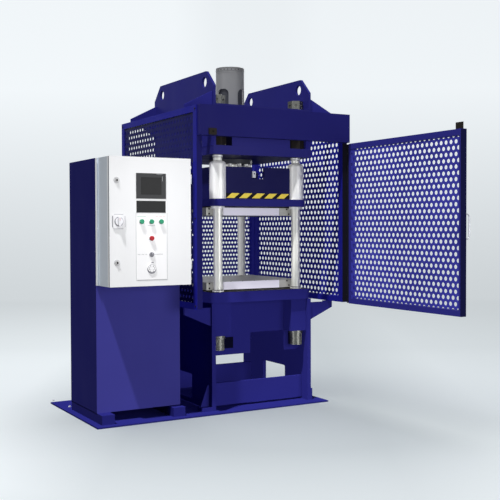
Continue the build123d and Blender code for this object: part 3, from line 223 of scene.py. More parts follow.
# Painted light: a lighter, less metallic copy of the column chrome for the back columns.
rear_lit_chrome = metal("rear_lit_chrome", (0.95, 0.95, 0.91), 0.42, (0.4, 0.4, 3.0), 0.0, 0.0, 0.02, 0.05)
turned_steel = metal("turned_steel", (0.16, 0.16, 0.145), 0.30, (0.4, 0.4, 6.0), 0.05, 0.0006, 0.06, 0.8)
collar_steel = metal("collar_steel", (0.74, 0.74, 0.72), 0.40, (0.4, 0.4, 6.0), 0.05, 0.0006, 0.04, 0.3)
bezel_grey = plastic("bezel_grey", (0.44, 0.45, 0.47), 0.50, 0.10, 0.05)
platen_steel = metal("platen_steel", (0.23, 0.23, 0.215), 0.48, (0.2, 4.0, 4.0), 0.12, 0.001, 0.06, 0.5)
hood_grey = paint("hood_grey", (0.190, 0.193, 0.198), rough=0.42, spread=0.05, gloss=0.15)
cylinder_paint = paint("cylinder_grey", (0.035, 0.037, 0.045), rough=0.45, gloss=0.1)
nut_black = plastic("nut_black", (0.013, 0.011, 0.010), 0.50, 0.06)
hole_black = plastic("hole_black", (0.006, 0.006, 0.006), 0.85, 0.02, 0.1)
block_steel = metal("block_steel", (0.36, 0.37, 0.40), 0.45, (2.0, 2.0, 2.0), 0.1, 0.001, 0.05, 0.15)
bolt_steel = metal("bolt_steel", (0.42, 0.42, 0.42), 0.40, (1.0, 1.0, 1.0), 0.1, 0.0005, 0.05, 0.4)
board = plastic("insulation_board", (0.014, 0.013, 0.012), 0.80, 0.05, 0.5, 260.0)
black_plastic = plastic("black_plastic", (0.016, 0.013, 0.011), 0.60, 0.05)
bezel_plastic = plastic("bezel_plastic", (0.068, 0.069, 0.072), 0.60, 0.05)
band_plastic = plastic("band_plastic", (0.037, 0.038, 0.039), 0.60, 0.05)
glass_dark = plastic("screen_glass", (0.036, 0.036, 0.037), 0.50, 0.05, 0.0)
green_plastic = plastic("green_button", (0.020, 0.33, 0.17), 0.42, 0.12, 0.03)
red_plastic = plastic("red_button", (0.46, 0.004, 0.016), 0.42, 0.12, 0.03)
white_plastic = plastic("white_plastic", (0.74, 0.74, 0.77), 0.45, 0.10, 0.05)
switch_grey = plastic("switch_grey", (0.74, 0.74, 0.76), 0.45, 0.10, 0.05)
mark_grey = plastic("mark_grey", (0.26, 0.26, 0.29), 0.50, 0.10, 0.05)
lock_grey = plastic("lock_grey", (0.60, 0.60, 0.61), 0.45, 0.15, 0.05)
dark_grey = plastic("dark_grey_plastic", (0.075, 0.078, 0.084), 0.50, 0.10)
rubber = plastic("gasket_rubber", (0.018, 0.018, 0.018), 0.80, 0.05, 0.4, 300.0)
aluminium = metal("satin_aluminium", (0.36, 0.37, 0.40), 0.40, (0.2, 5.0, 5.0), 0.05, 0.001, 0.05, 0.5)
zinc = metal("zinc_plate", (0.46, 0.46, 0.47), 0.42, (1.0, 1.0, 1.0), 0.1, 0.001, 0.05, 0.4)
# Painted shade: darker blue for the cabinet's left side.
cabinet_side_painted_shade = paint("cabinet_side_painted_shade", (0.0150, 0.0150, 0.112), rough=0.6, spread=0.05, gloss=0.006)
# Painted shade: darker blue for the stop strip on the left front post.
stop_shade = paint("door_stop_painted_shade", (0.0110, 0.0108, 0.085), rough=0.6, spread=0.05, gloss=0.01)
# Painted shade: a much darker copy of the sheet blue for the left guard's sheet.
left_sheet_shaded_paint = paint("left_sheet_shaded_blue", (0.0014, 0.0018, 0.080), rough=0.35, gloss=0.03, edge=0.0,
                         spread=0.30)
# Painted shade: dark brown for the hinges, their leaf and barrel on the right front post.
hinge_painted_shade = paint("hinge_shade", (0.0085, 0.0080, 0.0135), rough=0.6, gloss=0.01)
shade_paint = paint("pocket_shade", (0.0040, 0.0040, 0.016), rough=0.6, gloss=0.0)
panel_foil = paint("panel_foil", (0.83, 0.83, 0.84), rough=0.40, peel=0.1, spread=0.01, gloss=0.08)
hazard_black = plastic("hazard_black", (0.010, 0.009, 0.012), 0.60, 0.05)
hazard_yellow = plastic("hazard_yellow", (0.95, 0.72, 0.085), 0.50, 0.10, 0.1)
label_grey = plastic("label_grey", (0.50, 0.51, 0.52), 0.60, 0.05)
label_green = plastic("label_green", (0.42, 0.62, 0.52), 0.60, 0.05)
label_red = plastic("label_red", (0.74, 0.46, 0.48), 0.60, 0.05)
flange_light = paint("flange_light", (0.93, 0.95, 0.97), rough=0.45, spread=0.02, gloss=0.1)
edge_dark = paint("edge_dark", (0.16, 0.175, 0.195), rough=0.5, spread=0.02, gloss=0.05)

NODE_MATERIALS = {
    frame_paint: ("side_plate_left", "side_plate_right", "frame_webs", "foot_gussets", "guard_brackets",
                  "bed_plate"),
    floor_paint: ("base_plate",),
    plate_paint: ("slide_plate",),
    head_paint: ("crosshead_plate", "crosshead_webs", "crosshead_cap"),
    cover_paint: ("front_cover",),
    lift_paint: ("lifting_plate_left", "lifting_plate_right"),
    slide_shaded_paint: ("slide_webs",),
    guard_paint: ("guard_left_frame", "guard_right_frame", "guard_back_frame"),
    door_paint: ("door_frame",),
    cabinet_paint: ("cabinet", "oil_tank", "pump_motor"),
    box_paint: ("enclosure_door",),
    box_side_shaded_paint: ("enclosure_body",),
    rear_lit_chrome: ("column_back_left", "column_back_right"),
    chrome: ("column_front_left", "column_front_right", "piston_rod"),
    sleeve_steel: ("slide_sleeves",),
    turned_steel: ("column_nuts",),
    hinge_painted_shade: ("door_hinges",),
    zinc: ("mounting_plate",),
    lock_grey: ("lock_upper", "lock_lower"),
    nut_black: ("pocket_nuts",),
    cylinder_paint: ("cylinder",),
    hood_grey: ("cylinder_hood",),
    platen_steel: ("platen_lower", "platen_upper"),
    white_paint: ("shield_lower", "shield_upper"),
    board: ("insulation_lower", "insulation_upper"),
    black_plastic: ("interlock_switch", "door_actuator"),
    bezel_plastic: ("display_panel",),
    panel_foil: ("control_plate",),
    aluminium: ("door_handle",),
    white_plastic: ("main_switch",),
    switch_grey: ("switch_plate",),
    mark_grey: ("mode_selector",),
    green_plastic: ("button_start", "button_close", "button_open"),
    red_plastic: ("button_stop",),
}
for material, names in NODE_MATERIALS.items():
    for name in names:
        for material_slot in nodes[name].material_slots:
            material_slot.material = material


# Mesh tools

def piece(name, bm, material, body, smooth=False):
    """Turns a bmesh into a piece of the object that rides on a body."""
    bmesh.ops.recalc_face_normals(bm, faces=bm.faces)
    mesh = bpy.data.meshes.new(name)
    bm.to_mesh(mesh)
    bm.free()
    if smooth:
        mesh.shade_smooth()
        mesh.set_sharp_from_angle(angle=math.radians(38))
    mesh.materials.append(material)
    obj = bpy.data.objects.new(name, mesh)
    bpy.context.scene.collection.objects.link(obj)
    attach(obj, body)
    return obj


def add_block(bm, low, high, bevel=0.0, segments=1):
    """Adds a block between two corners, with rounded edges."""
    made = bmesh.ops.create_cube(bm, size=1.0)
    size = Vector(high) - Vector(low)
    middle = (Vector(high) + Vector(low)) / 2
    for vert in made["verts"]:
        vert.co = Vector([vert.co[i] * size[i] + middle[i] for i in range(3)])
    if bevel:
        edges = {edge for vert in made["verts"] for edge in vert.link_edges}
        bmesh.ops.bevel(bm, geom=list(edges), offset=bevel, segments=segments, profile=0.5, affect="EDGES")


def turn_to(axis):
    """Gives the rotation that takes +Z to the given direction."""
    return Vector((0, 0, 1)).rotation_difference(Vector(axis)).to_matrix().to_4x4()


def around(radius, count, offset=0.0):
    """Gives points evenly spaced on a circle, turned by a share of their spacing."""
    angles = [2 * math.pi * (i + offset) / count for i in range(count)]
    return [(radius * math.cos(angle), radius * math.sin(angle)) for angle in angles]


def add_ring(bm, turn, radius, height, count):
    """Adds a ring of points round the turned Z axis, or one point where the radius is 0."""
    if radius == 0:
        return [bm.verts.new(turn @ Vector((0, 0, height)))]
    return [bm.verts.new(turn @ Vector((x, y, height))) for x, y in around(radius, count)]


def bridge(bm, rings):
    """Adds the faces between rings, the first or last of which may be one point."""
    for low, high in zip(rings, rings[1:]):
        count = max(len(low), len(high))
        for i in range(count):
            j = (i + 1) % count
            if len(low) == 1:
                bm.faces.new((low[0], high[j], high[i]))
            elif len(high) == 1:
                bm.faces.new((low[i], low[j], high[0]))
            else:
                bm.faces.new((low[i], low[j], high[j], high[i]))


def add_turned(bm, place, axis, profile, segments):
    """Adds a turned form: profile lists (radius, height) from the foot to the top along the axis."""
    turn = Matrix.Translation(Vector(place)) @ turn_to(axis)
    rings = [add_ring(bm, turn, radius, height, segments) for radius, height in profile]
    bridge(bm, rings)
    for ring in (rings[0], rings[-1]):
        if len(ring) > 1:
            bm.faces.new(ring)


def add_hex_bolt(bm, place, across, height, spin):
    """Adds an upright hexagon bolt head with a chamfered top on a washer."""
    washer = height * 0.2
    add_turned(bm, place, UP, [(across * 0.62, 0.0), (across * 0.62, height * 0.16), (across * 0.58, washer),
                               (0, washer)], 24)
    turn = Matrix.Translation(Vector(place)) @ Matrix.Rotation(spin, 4, "Z")
    corner = across / math.sqrt(3)
    levels = ((corner, washer), (corner, height * 0.88), (corner * 0.86, height))
    rings = [add_ring(bm, turn, radius, level, 6) for radius, level in levels]
    bridge(bm, rings)
    bm.faces.new(rings[0])
    bm.faces.new(rings[-1])


def add_cap_screw(bm, place, axis, radius, height):
    """Adds a round screw head with a six-sided socket."""
    turn = Matrix.Translation(Vector(place)) @ turn_to(axis)
    levels = ((radius, 0.0), (radius, height * 0.8), (radius * 0.86, height))
    rings = [add_ring(bm, turn, ring, level, 18) for ring, level in levels]
    bridge(bm, rings)
    bm.faces.new(rings[0])
    rim = rings[-1]
    top, bottom = [add_ring(bm, turn, radius * 0.48, level, 6) for level in (height, height * 0.45)]
    bridge(bm, (top, bottom))
    for i in range(6):
        bm.faces.new((rim[3 * i], rim[3 * i + 1], rim[3 * i + 2], rim[(3 * i + 3) % 18],
                      top[(i + 1) % 6], top[i]))
    bm.faces.new(bottom)


def add_weld(bm, start, end, direction, radius=0.004, pitch=0.007):
    """Adds a weld bead: a row of low overlapping ripples along an inner corner."""
    start, end = Vector(start), Vector(end)
    out = Vector(direction).normalized()
    side = (end - start).normalized().cross(out)
    steps = 2 * max(2, int((end - start).length / pitch))
    rings = []
    for i in range(steps + 1):
        swell = 1.0 if i % 2 else 0.86
        middle = start.lerp(end, i / steps)
        rings.append([bm.verts.new(middle + (out * x + side * y) * radius * swell)
                      for x, y in around(1.0, 6)])
    bridge(bm, rings)
    bm.faces.new(rings[0])
    bm.faces.new(rings[-1])


def block_piece(name, blocks, material, body, bevel=0.0):
    """Makes one piece of blocks, each given by two corners."""
    bm = bmesh.new()
    for low, high in blocks:
        add_block(bm, low, high, bevel)
    piece(name, bm, material, body)


def turned_piece(name, forms, segments, material, body, smooth=True):
    """Makes one piece of turned forms, each given by its place, axis and profile."""
    bm = bmesh.new()
    for place, axis, profile in forms:
        add_turned(bm, place, axis, profile, segments)
    piece(name, bm, material, body, smooth)


def screw_piece(name, places, radius, height, body):
    """Makes one piece of black cap screws, each given by its place and axis."""
    bm = bmesh.new()
    for place, axis in places:
        add_cap_screw(bm, place, axis, radius, height)
    piece(name, bm, nut_black, body)


# Perforated sheets

SHEET = 0.002
# Corners and edge middles of the cell round a hole, as shares of its size
CELL = ((-0.5, -0.5), (0.0, -0.5), (0.5, -0.5), (0.5, 0.0), (0.5, 0.5), (0.0, 0.5), (-0.5, 0.5), (-0.5, 0.0))


def perforated(origin, axes, width, height, pitch, row, radius):
    """Builds a sheet with staggered round holes that run on under the frame's edge.

    The axes are the directions of its width, its height and its thickness.
    """
    bm = bmesh.new()
    columns = math.ceil(width / pitch) + 2
    rows = math.ceil(height / row) + 2
    start_u = (width - columns * pitch) / 2
    start_v = (height - rows * row) / 2
    angles = [math.radians(-135 + 22.5 * i) for i in range(16)]
    for r in range(rows):
        middle_v = start_v + (r + 0.5) * row
        shift = 0.0 if r % 2 else 0.5
        for c in range(columns):
            middle_u = start_u + (c + 0.25 + shift) * pitch
            rim = [bm.verts.new((middle_u + a * pitch, middle_v + b * row, 0)) for a, b in CELL]
            hole = [bm.verts.new((middle_u + radius * math.cos(a), middle_v + radius * math.sin(a), 0))
                    for a in angles]
            for i in range(8):
                bm.faces.new((rim[i], rim[(i + 1) % 8], hole[(2 * i + 2) % 16], hole[2 * i + 1], hole[2 * i]))
    bmesh.ops.remove_doubles(bm, verts=bm.verts, dist=1e-5)
    for place, normal in (((0, 0, 0), (-1, 0, 0)), ((width, 0, 0), (1, 0, 0)),
                          ((0, 0, 0), (0, -1, 0)), ((0, height, 0), (0, 1, 0))):
        geometry = list(bm.verts) + list(bm.edges) + list(bm.faces)
        bmesh.ops.bisect_plane(bm, geom=geometry, plane_co=place, plane_no=normal, clear_outer=True)
    made = bmesh.ops.extrude_face_region(bm, geom=list(bm.faces))
    bmesh.ops.translate(bm, vec=(0, 0, SHEET),
                        verts=[v for v in made["geom"] if isinstance(v, bmesh.types.BMVert)])
    turn = Matrix(axes).transposed()
    for vert in bm.verts:
        vert.co = Vector(origin) + turn @ vert.co
    return bm


SIDE_SHEETS = (("left", (1, 0, 0), 0.0110, left_sheet_shaded_paint), ("right", (-1, 0, 0), 0.0135, sheet_paint))
for side, inward, radius, lacquer in SIDE_SHEETS:
    low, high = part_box(f"guard_{side}_sheet")
    face_x = low[0] if side == "left" else high[0]
    bm = perforated((face_x, low[1], low[2]), (BACK, UP, inward), high[1] - low[1], high[2] - low[2],
                    pitch=0.046, row=0.040, radius=radius)
    sheet = piece(f"perforated_{side}", bm, lacquer, PRESS)
    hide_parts(f"guard_{side}_sheet")
low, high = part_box("guard_back_sheet")
bm = perforated((low[0], high[1], low[2]), ((1, 0, 0), UP, FRONT), high[0] - low[0], high[2] - low[2],
                pitch=0.0274, row=0.0333, radius=0.0096)
sheet = piece("perforated_back", bm, sheet_paint, PRESS)
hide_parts("guard_back_sheet")
low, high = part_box("door_sheet")
bm = perforated((low[0], high[1], low[2]), (FRONT, UP, (1, 0, 0)), high[1] - low[1], high[2] - low[2],
                pitch=0.0436, row=0.0377, radius=0.0132)
sheet = piece("perforated_door", bm, door_sheet_lit_paint, GUARD_DOOR)
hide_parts("door_sheet")


# Slide: hazard tape on its front web

web_low, web_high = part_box("slide_webs")
WEB_FACE = -0.404
TAPE, STRIPE = 0.0008, 0.0005
TAPE_HALF, TAPE_HEIGHT = 0.257, 0.034
STRIPE_PITCH, STRIPE_WIDTH, STRIPE_LEAN = 0.1005, 0.062, 0.043
tape_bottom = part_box("slide_plate")[1][2] + 0.007
tape_top = tape_bottom + TAPE_HEIGHT
tape = ((-TAPE_HALF, WEB_FACE - TAPE, tape_bottom), (TAPE_HALF, WEB_FACE + SUNK, tape_top))
block_piece("tape_ground", [tape], hazard_black, SLIDE)
bm = bmesh.new()
for i in range(5):
    left = -TAPE_HALF + 0.003 + i * STRIPE_PITCH
    outline = [(left, tape_bottom), (left + STRIPE_WIDTH, tape_bottom),
               (left + STRIPE_WIDTH + STRIPE_LEAN, tape_top), (left + STRIPE_LEAN, tape_top)]
    front = [bm.verts.new((x, WEB_FACE - TAPE - STRIPE, z)) for x, z in outline]
    back = [bm.verts.new((x, WEB_FACE - TAPE, z)) for x, z in outline]
    bm.faces.new(front)
    bm.faces.new(back)
    bridge(bm, (front, back))
piece("tape_stripes", bm, hazard_yellow, SLIDE)

# Face plates and a screw on the trip block that hangs at the left of the notch
TRIP_LEFT, TRIP_RIGHT, TRIP_BACK = -0.0494, -0.0246, -0.378
trip_face = web_low[1] - 0.0016
trip_bottom, trip_top = web_high[2] - 0.0735, web_high[2] - 0.0287
bm = bmesh.new()
add_block(bm, (TRIP_LEFT, trip_face, trip_bottom), (TRIP_RIGHT, web_low[1] + SUNK, trip_top), 0.0006)
add_block(bm, (TRIP_LEFT - 0.0012, trip_face, trip_bottom), (TRIP_LEFT + SUNK, TRIP_BACK, trip_top), 0.0004)
piece("trip_plates", bm, block_steel, SLIDE)
trip_screw = ((TRIP_LEFT + TRIP_RIGHT) / 2, trip_face, web_high[2] - 0.046)
screw_piece("trip_screw", [(trip_screw, FRONT)], 0.0045, 0.0022, SLIDE)


# Columns: collars and seals below and above, scraper rings on the guide sleeves

COLUMN_X, COLUMN_Y = 0.314, 0.394
COLUMNS = [(x, y) for x in (-COLUMN_X, COLUMN_X) for y in (-COLUMN_Y, COLUMN_Y)]
LOWER_COLLAR = [(0.0305, 0), (0.039, 0), (0.039, 0.007), (0.036, 0.010), (0.0305, 0.010)]
UPPER_COLLAR = [(0.0305, 0), (0.0335, 0), (0.0335, 0.011), (0.0322, 0.013), (0.0305, 0.013)]
LOWER_SEAL = [(0.0303, 0), (0.0325, 0), (0.0325, 0.004), (0.0303, 0.004)]
UPPER_SEAL = [(0.0303, 0), (0.0318, 0), (0.0318, 0.003), (0.0303, 0.003)]
SCRAPER = [(0.0304, -0.001), (0.0345, -0.001), (0.0345, 0.0012), (0.0335, 0.002), (0.0304, 0.002)]
bed_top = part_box("bed_plate")[1][2]
head_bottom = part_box("crosshead_plate")[0][2]
sleeve_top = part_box("slide_sleeves")[1][2]
collars, seals = [], []
for x, y in COLUMNS:
    collars += [((x, y, bed_top), UP, LOWER_COLLAR), ((x, y, head_bottom), DOWN, UPPER_COLLAR)]
    seals += [((x, y, bed_top + LOWER_COLLAR[-1][1]), UP, LOWER_SEAL),
              ((x, y, head_bottom - UPPER_COLLAR[-1][1]), DOWN, UPPER_SEAL)]
turned_piece("column_rings", collars, 48, collar_steel, PRESS)
turned_piece("column_seals", seals, 48, rubber, PRESS)
turned_piece("sleeve_scrapers", [((x, y, sleeve_top), UP, SCRAPER) for x, y in COLUMNS], 48,
             dark_grey, SLIDE)


# Cylinder and hood

# Light steel heads over the bolts of the cylinder's flange
FLANGE_HEAD = [(0.0160, 0.0), (0.0164, 0.0003), (0.0164, 0.0146), (0.0146, 0.0162), (0.0, 0.0162)]
cylinder_low, cylinder_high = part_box("cylinder")
turned_piece("flange_bolts", [((x, y, cylinder_low[2] + 0.0155), DOWN, FLANGE_HEAD)
                              for x, y in around(0.136, 12)], 24, bolt_steel, PRESS)

# Screws and seams round the hood's lid
HOOD = 0.103
HOOD_SCREW = [(0.0038, 0.0), (0.0038, 0.0014), (0.0028, 0.0020)]
HOOD_SEAM = [(HOOD - 0.0005, -0.0011), (HOOD + 0.0006, -0.0009), (HOOD + 0.0006, 0.0009),
             (HOOD - 0.0005, 0.0011)]
hood_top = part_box("cylinder_hood")[1][2]
turned_piece("hood_screws", [((x, y, hood_top - 0.017), (x, y, 0), HOOD_SCREW)
                             for x, y in around(HOOD - 0.0003, 24, offset=0.5)],
             16, nut_black, PRESS, smooth=False)
turned_piece("hood_lines", [((0, 0, hood_top - drop), UP, HOOD_SEAM) for drop in (0.0065, 0.0275)],
             96, dark_grey, PRESS)

# Painted shade seen through the hood's windows: a dark tube round the upper barrel, close inside the hood
SHADE_TUBE_BOTTOM, SHADE_TUBE_INNER, SHADE_TUBE_OUTER, SHADE_TUBE_CHAMFER = 2.0705, 0.0765, 0.0945, 0.002
shade_tube_height = cylinder_high[2] - SHADE_TUBE_BOTTOM - 0.001
shade_tube = [(SHADE_TUBE_INNER, 0.0), (SHADE_TUBE_OUTER, 0.0), (SHADE_TUBE_OUTER, shade_tube_height - SHADE_TUBE_CHAMFER),
          (SHADE_TUBE_OUTER - SHADE_TUBE_CHAMFER, shade_tube_height), (SHADE_TUBE_INNER, shade_tube_height)]
turned_piece("barrel_painted_shade", [((0, 0, SHADE_TUBE_BOTTOM), UP, shade_tube)], 64, cylinder_paint, PRESS)

# Painted shade in the crosshead's nut pockets: thin dark plates on their walls, across and along the press
POCKET_BOTTOM, POCKET_TOP = 1.7925, 2.0095
POCKET_SHADES = ((0.2225, 0.3695, 0.3205, 0.3212), (0.2321, 0.2328, 0.3205, 0.4510))
blocks = []
for side in (-1, 1):
    for end in (-1, 1):
        for near_x, far_x, near_y, far_y in POCKET_SHADES:
            x0, x1 = sorted((side * near_x, side * far_x))
            y0, y1 = sorted((end * near_y, end * far_y))
            blocks.append(((x0, y0, POCKET_BOTTOM), (x1, y1, POCKET_TOP)))
block_piece("pocket_painted_shade", blocks, shade_paint, PRESS)


# Platens: heater caps, and the screws and steel ends of the cover strips

HEATER_CAP = [(0.0062, -0.001), (0.0062, 0.0012), (0.0048, 0.0020), (0.0, 0.0020)]
COVER_SCREW = [(0.0045, -0.0005), (0.0045, 0.0022), (0.0034, 0.0032), (0.0, 0.0032)]
COVER_SCREW_Y, COVER_SCREW_PITCH = -0.346, 0.094
COVER_END_X = 0.202
for name, body in (("platen_lower", PRESS), ("platen_upper", SLIDE)):
    low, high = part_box(name)
    top_row, bottom_row = high[2] - 0.0085, low[2] + 0.0125
    caps = []
    for side in (-1, 1):
        for x, z in ((0.274, top_row), (0.291, bottom_row), (0.352, top_row), (0.352, bottom_row)):
            caps += [((side * x, low[1], z), FRONT, HEATER_CAP), ((side * x, high[1], z), BACK, HEATER_CAP)]
    turned_piece(f"heater_caps_{name}", caps, 24, hole_black, body)
    shield_low, shield_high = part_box(name.replace("platen", "shield"))
    screws = [((i * COVER_SCREW_PITCH, COVER_SCREW_Y, shield_high[2]), UP, COVER_SCREW) for i in range(-2, 3)]
    turned_piece(f"cover_screws_{name}", screws, 20, dark_grey, body)
    end = ((COVER_END_X, shield_low[1] - 0.0006, shield_low[2] + 0.0004),
           (shield_high[0] + 0.0004, shield_high[1], shield_high[2] + 0.0004))
    block_piece(f"cover_ends_{name}", [end], platen_steel, body, bevel=0.0005)

# Painted shade on the bed plate: a thin dark sheet over its top
BED_SHADE_X, BED_SHADE_Y, BED_SHADE_HALF = 0.3935, 0.4585, 0.0004
block_piece("bed_painted_shade", [((-BED_SHADE_X, -BED_SHADE_Y, bed_top - BED_SHADE_HALF), (BED_SHADE_X, BED_SHADE_Y, bed_top + BED_SHADE_HALF))],
            board, PRESS)

# Dark bore in the front of the door switch on the front cover
switch_low, switch_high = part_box("interlock_switch")
SWITCH_BORE = [(0.0, 0.0), (0.0059, 0.0), (0.0059, 0.0050), (0.0, 0.0050)]
bore = ((switch_low[0] + switch_high[0]) / 2, switch_low[1] + 0.0052,
        (switch_low[2] + switch_high[2]) / 2)
turned_piece("switch_bore", [(bore, FRONT, SWITCH_BORE)], 24, hole_black, PRESS,
             smooth=False)


# Enclosure: the outline and front face of its door

BOX_LEFT, BOX_RIGHT, BOX_BOTTOM, BOX_TOP = -1.182, -0.631, 0.878, 1.680
FACE = -0.626


def add_on_face(bm, x0, z0, x1, z1, proud):
    """Adds a flat block on the front of the enclosure's door."""
    add_block(bm, (x0, FACE - proud, z0), (x1, FACE + SUNK, z1))


# Gasket behind the door's rim
GASKET_INSET, GASKET_WIDTH, GASKET_FRONT, GASKET_BACK = 0.005, 0.008, -0.5945, -0.5921
left, right = BOX_LEFT + GASKET_INSET, BOX_RIGHT - GASKET_INSET
bottom, top = BOX_BOTTOM + GASKET_INSET, BOX_TOP - GASKET_INSET
strips = ((left, bottom, right, bottom + GASKET_WIDTH), (left, top - GASKET_WIDTH, right, top),
          (left, bottom + GASKET_WIDTH, left + GASKET_WIDTH, top - GASKET_WIDTH),
          (right - GASKET_WIDTH, bottom + GASKET_WIDTH, right, top - GASKET_WIDTH))
block_piece("door_gasket", [((x0, GASKET_FRONT, z0), (x1, GASKET_BACK, z1)) for x0, z0, x1, z1 in strips],
            rubber, BOX_DOOR)

# Display: its glass, the dark band under it and two light lines at its upper right corner.
# The lines' X is from the display's middle.
GLASS_HALF_X, GLASS_HALF_Z = 0.0695, 0.0533
BAND_LEFT, BAND_RIGHT, BAND_BOTTOM, BAND_TOP = -1.006, -0.808, 1.335, 1.409
display_low, display_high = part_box("display_panel")
display_x = (display_low[0] + display_high[0]) / 2
display_z = (display_low[2] + display_high[2]) / 2
display_y = display_low[1]
glass = ((display_x - GLASS_HALF_X, display_y + 0.0004, display_z - GLASS_HALF_Z),
         (display_x + GLASS_HALF_X, display_y + 0.0016, display_z + GLASS_HALF_Z))
block_piece("display_glass", [glass], glass_dark, BOX_DOOR, bevel=0.0004)
band = ((BAND_LEFT, FACE - 0.0038, BAND_BOTTOM), (BAND_RIGHT, FACE - 0.0029, BAND_TOP))
block_piece("label_band", [band], band_plastic, BOX_DOOR, bevel=0.0004)
MARKS = ((0.074, 1.532, 0.0765, 1.562), (0.036, 1.5725, 0.078, 1.5745))
marks = [((display_x + x0, display_y - 0.0006, z0), (display_x + x1, display_y + SUNK, z1))
         for x0, z0, x1, z1 in MARKS]
block_piece("display_marks", marks, label_grey, BOX_DOOR)

# Thin rim round the control plate
PLATE_LEFT, PLATE_RIGHT, PLATE_BOTTOM, PLATE_TOP = -1.007, -0.800, 0.918, 1.334
RIM_LEFT, RIM_RIGHT, RIM_BOTTOM = 0.0022, 0.0034, 0.0034
bm = bmesh.new()
add_on_face(bm, PLATE_LEFT - RIM_LEFT, PLATE_BOTTOM - RIM_LEFT, PLATE_LEFT, PLATE_TOP, 0.0009)
add_on_face(bm, PLATE_RIGHT, PLATE_BOTTOM - RIM_LEFT, PLATE_RIGHT + RIM_RIGHT, PLATE_TOP, 0.0009)
add_on_face(bm, PLATE_LEFT, PLATE_BOTTOM - RIM_BOTTOM, PLATE_RIGHT, PLATE_BOTTOM, 0.0009)
piece("plate_rim", bm, label_grey, BOX_DOOR)

# Bezels round the four buttons and the selector
CONTROLS = ((-0.971, 1.280), (-0.905, 1.280), (-0.839, 1.280), (-0.905, 1.176), (-0.905, 1.075))
BEZEL = [(0.0149, -0.004), (0.0162, -0.004), (0.0162, 0.0002), (0.0158, 0.0006), (0.0152, 0.0006),
         (0.0149, 0.0002)]
turned_piece("button_bezels", [((x, FACE - 0.006, z), FRONT, BEZEL) for x, z in CONTROLS], 48,
             bezel_grey, BOX_DOOR)

# Blank marks: rows of small bars (start, bottom, height, count) stand for labels, with no lettering.
# A row of more bars than SHORT_ROW has a gap at every fourth place.
BAR_PITCH, BAR_WIDTH, SHORT_ROW = 0.0064, 0.0044, 9
LABELS = (("labels_green", label_green, ((-0.998, 1.3085, 0.0046, 9),)),
          ("labels_red", label_red, ((-0.877, 1.3085, 0.0046, 10),)),
          ("labels_grey", label_grey, ((-0.930, 1.2525, 0.0046, 8), (-0.998, 1.0735, 0.0050, 10),
                                       (-0.884, 1.0735, 0.0046, 9))))
for name, material, rows in LABELS:
    bm = bmesh.new()
    for start, z, height, count in rows:
        for i in range(count):
            if i % 4 == 3 and count > SHORT_ROW:
                continue
            x = start + i * BAR_PITCH
            add_on_face(bm, x, z, x + BAR_WIDTH, z + height, 0.0023)
    piece(name, bm, material, BOX_DOOR)

# Sounder: a ring of dark holes in a light disc, with a blank mark over it
SOUNDER_X, SOUNDER_Z = -0.905, 0.984
SOUNDER_HOLE = [(0.0, 0.0), (0.0027, 0.0), (0.0027, 0.0016), (0.0, 0.0016)]
SOUNDER_RIM = [(0.0279, 0.0), (0.0292, 0.0), (0.0292, 0.0046), (0.0285, 0.0052), (0.0272, 0.0052),
               (0.0272, 0.0046)]
turned_piece("sounder_holes", [((SOUNDER_X + x, FACE - 0.0058, SOUNDER_Z + z), FRONT, SOUNDER_HOLE)
                               for x, z in around(0.017, 6)],
             16, dark_grey, BOX_DOOR, smooth=False)
bm = bmesh.new()
add_turned(bm, (SOUNDER_X, FACE - 0.002, SOUNDER_Z), FRONT, SOUNDER_RIM, 48)
add_on_face(bm, -0.909, 1.020, -0.892, 1.0275, 0.0023)
piece("sounder_rim", bm, mark_grey, BOX_DOOR, smooth=True)

# White line on the selector's bar
selector_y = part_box("mode_selector")[0][1]
block_piece("selector_line", [((-0.9062, selector_y - 0.0006, 1.078), (-0.9038, selector_y + 0.0004, 1.087))],
            white_plastic, "mode_selector")

# Main switch: a grey edge and ring on its plate, and a mark on its grip
SWITCH_LEFT, SWITCH_RIGHT, SWITCH_BOTTOM, SWITCH_TOP = -1.160, -1.084, 1.237, 1.323
EDGE, CORNER = 0.0028, 0.009
SWITCH_RING = [(0.0252, 0.0), (0.0290, 0.0), (0.0290, 0.0012), (0.0280, 0.0020), (0.0262, 0.0020),
               (0.0252, 0.0012)]
bm = bmesh.new()
for x0, x1 in ((SWITCH_LEFT - EDGE, SWITCH_LEFT), (SWITCH_RIGHT, SWITCH_RIGHT + EDGE)):
    add_on_face(bm, x0, SWITCH_BOTTOM + CORNER, x1, SWITCH_TOP - CORNER, 0.0058)
for z0, z1 in ((SWITCH_BOTTOM - EDGE, SWITCH_BOTTOM), (SWITCH_TOP, SWITCH_TOP + EDGE)):
    add_on_face(bm, SWITCH_LEFT + CORNER, z0, SWITCH_RIGHT - CORNER, z1, 0.0058)
add_turned(bm, (-1.122, FACE - 0.0058, 1.280), FRONT, SWITCH_RING, 48)
piece("switch_edges", bm, mark_grey, BOX_DOOR, smooth=True)
knob_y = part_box("main_switch")[0][1]
block_piece("switch_mark", [((-1.1242, knob_y - 0.0006, 1.286), (-1.1198, knob_y + 0.0004, 1.302))],
            label_red, "main_switch")

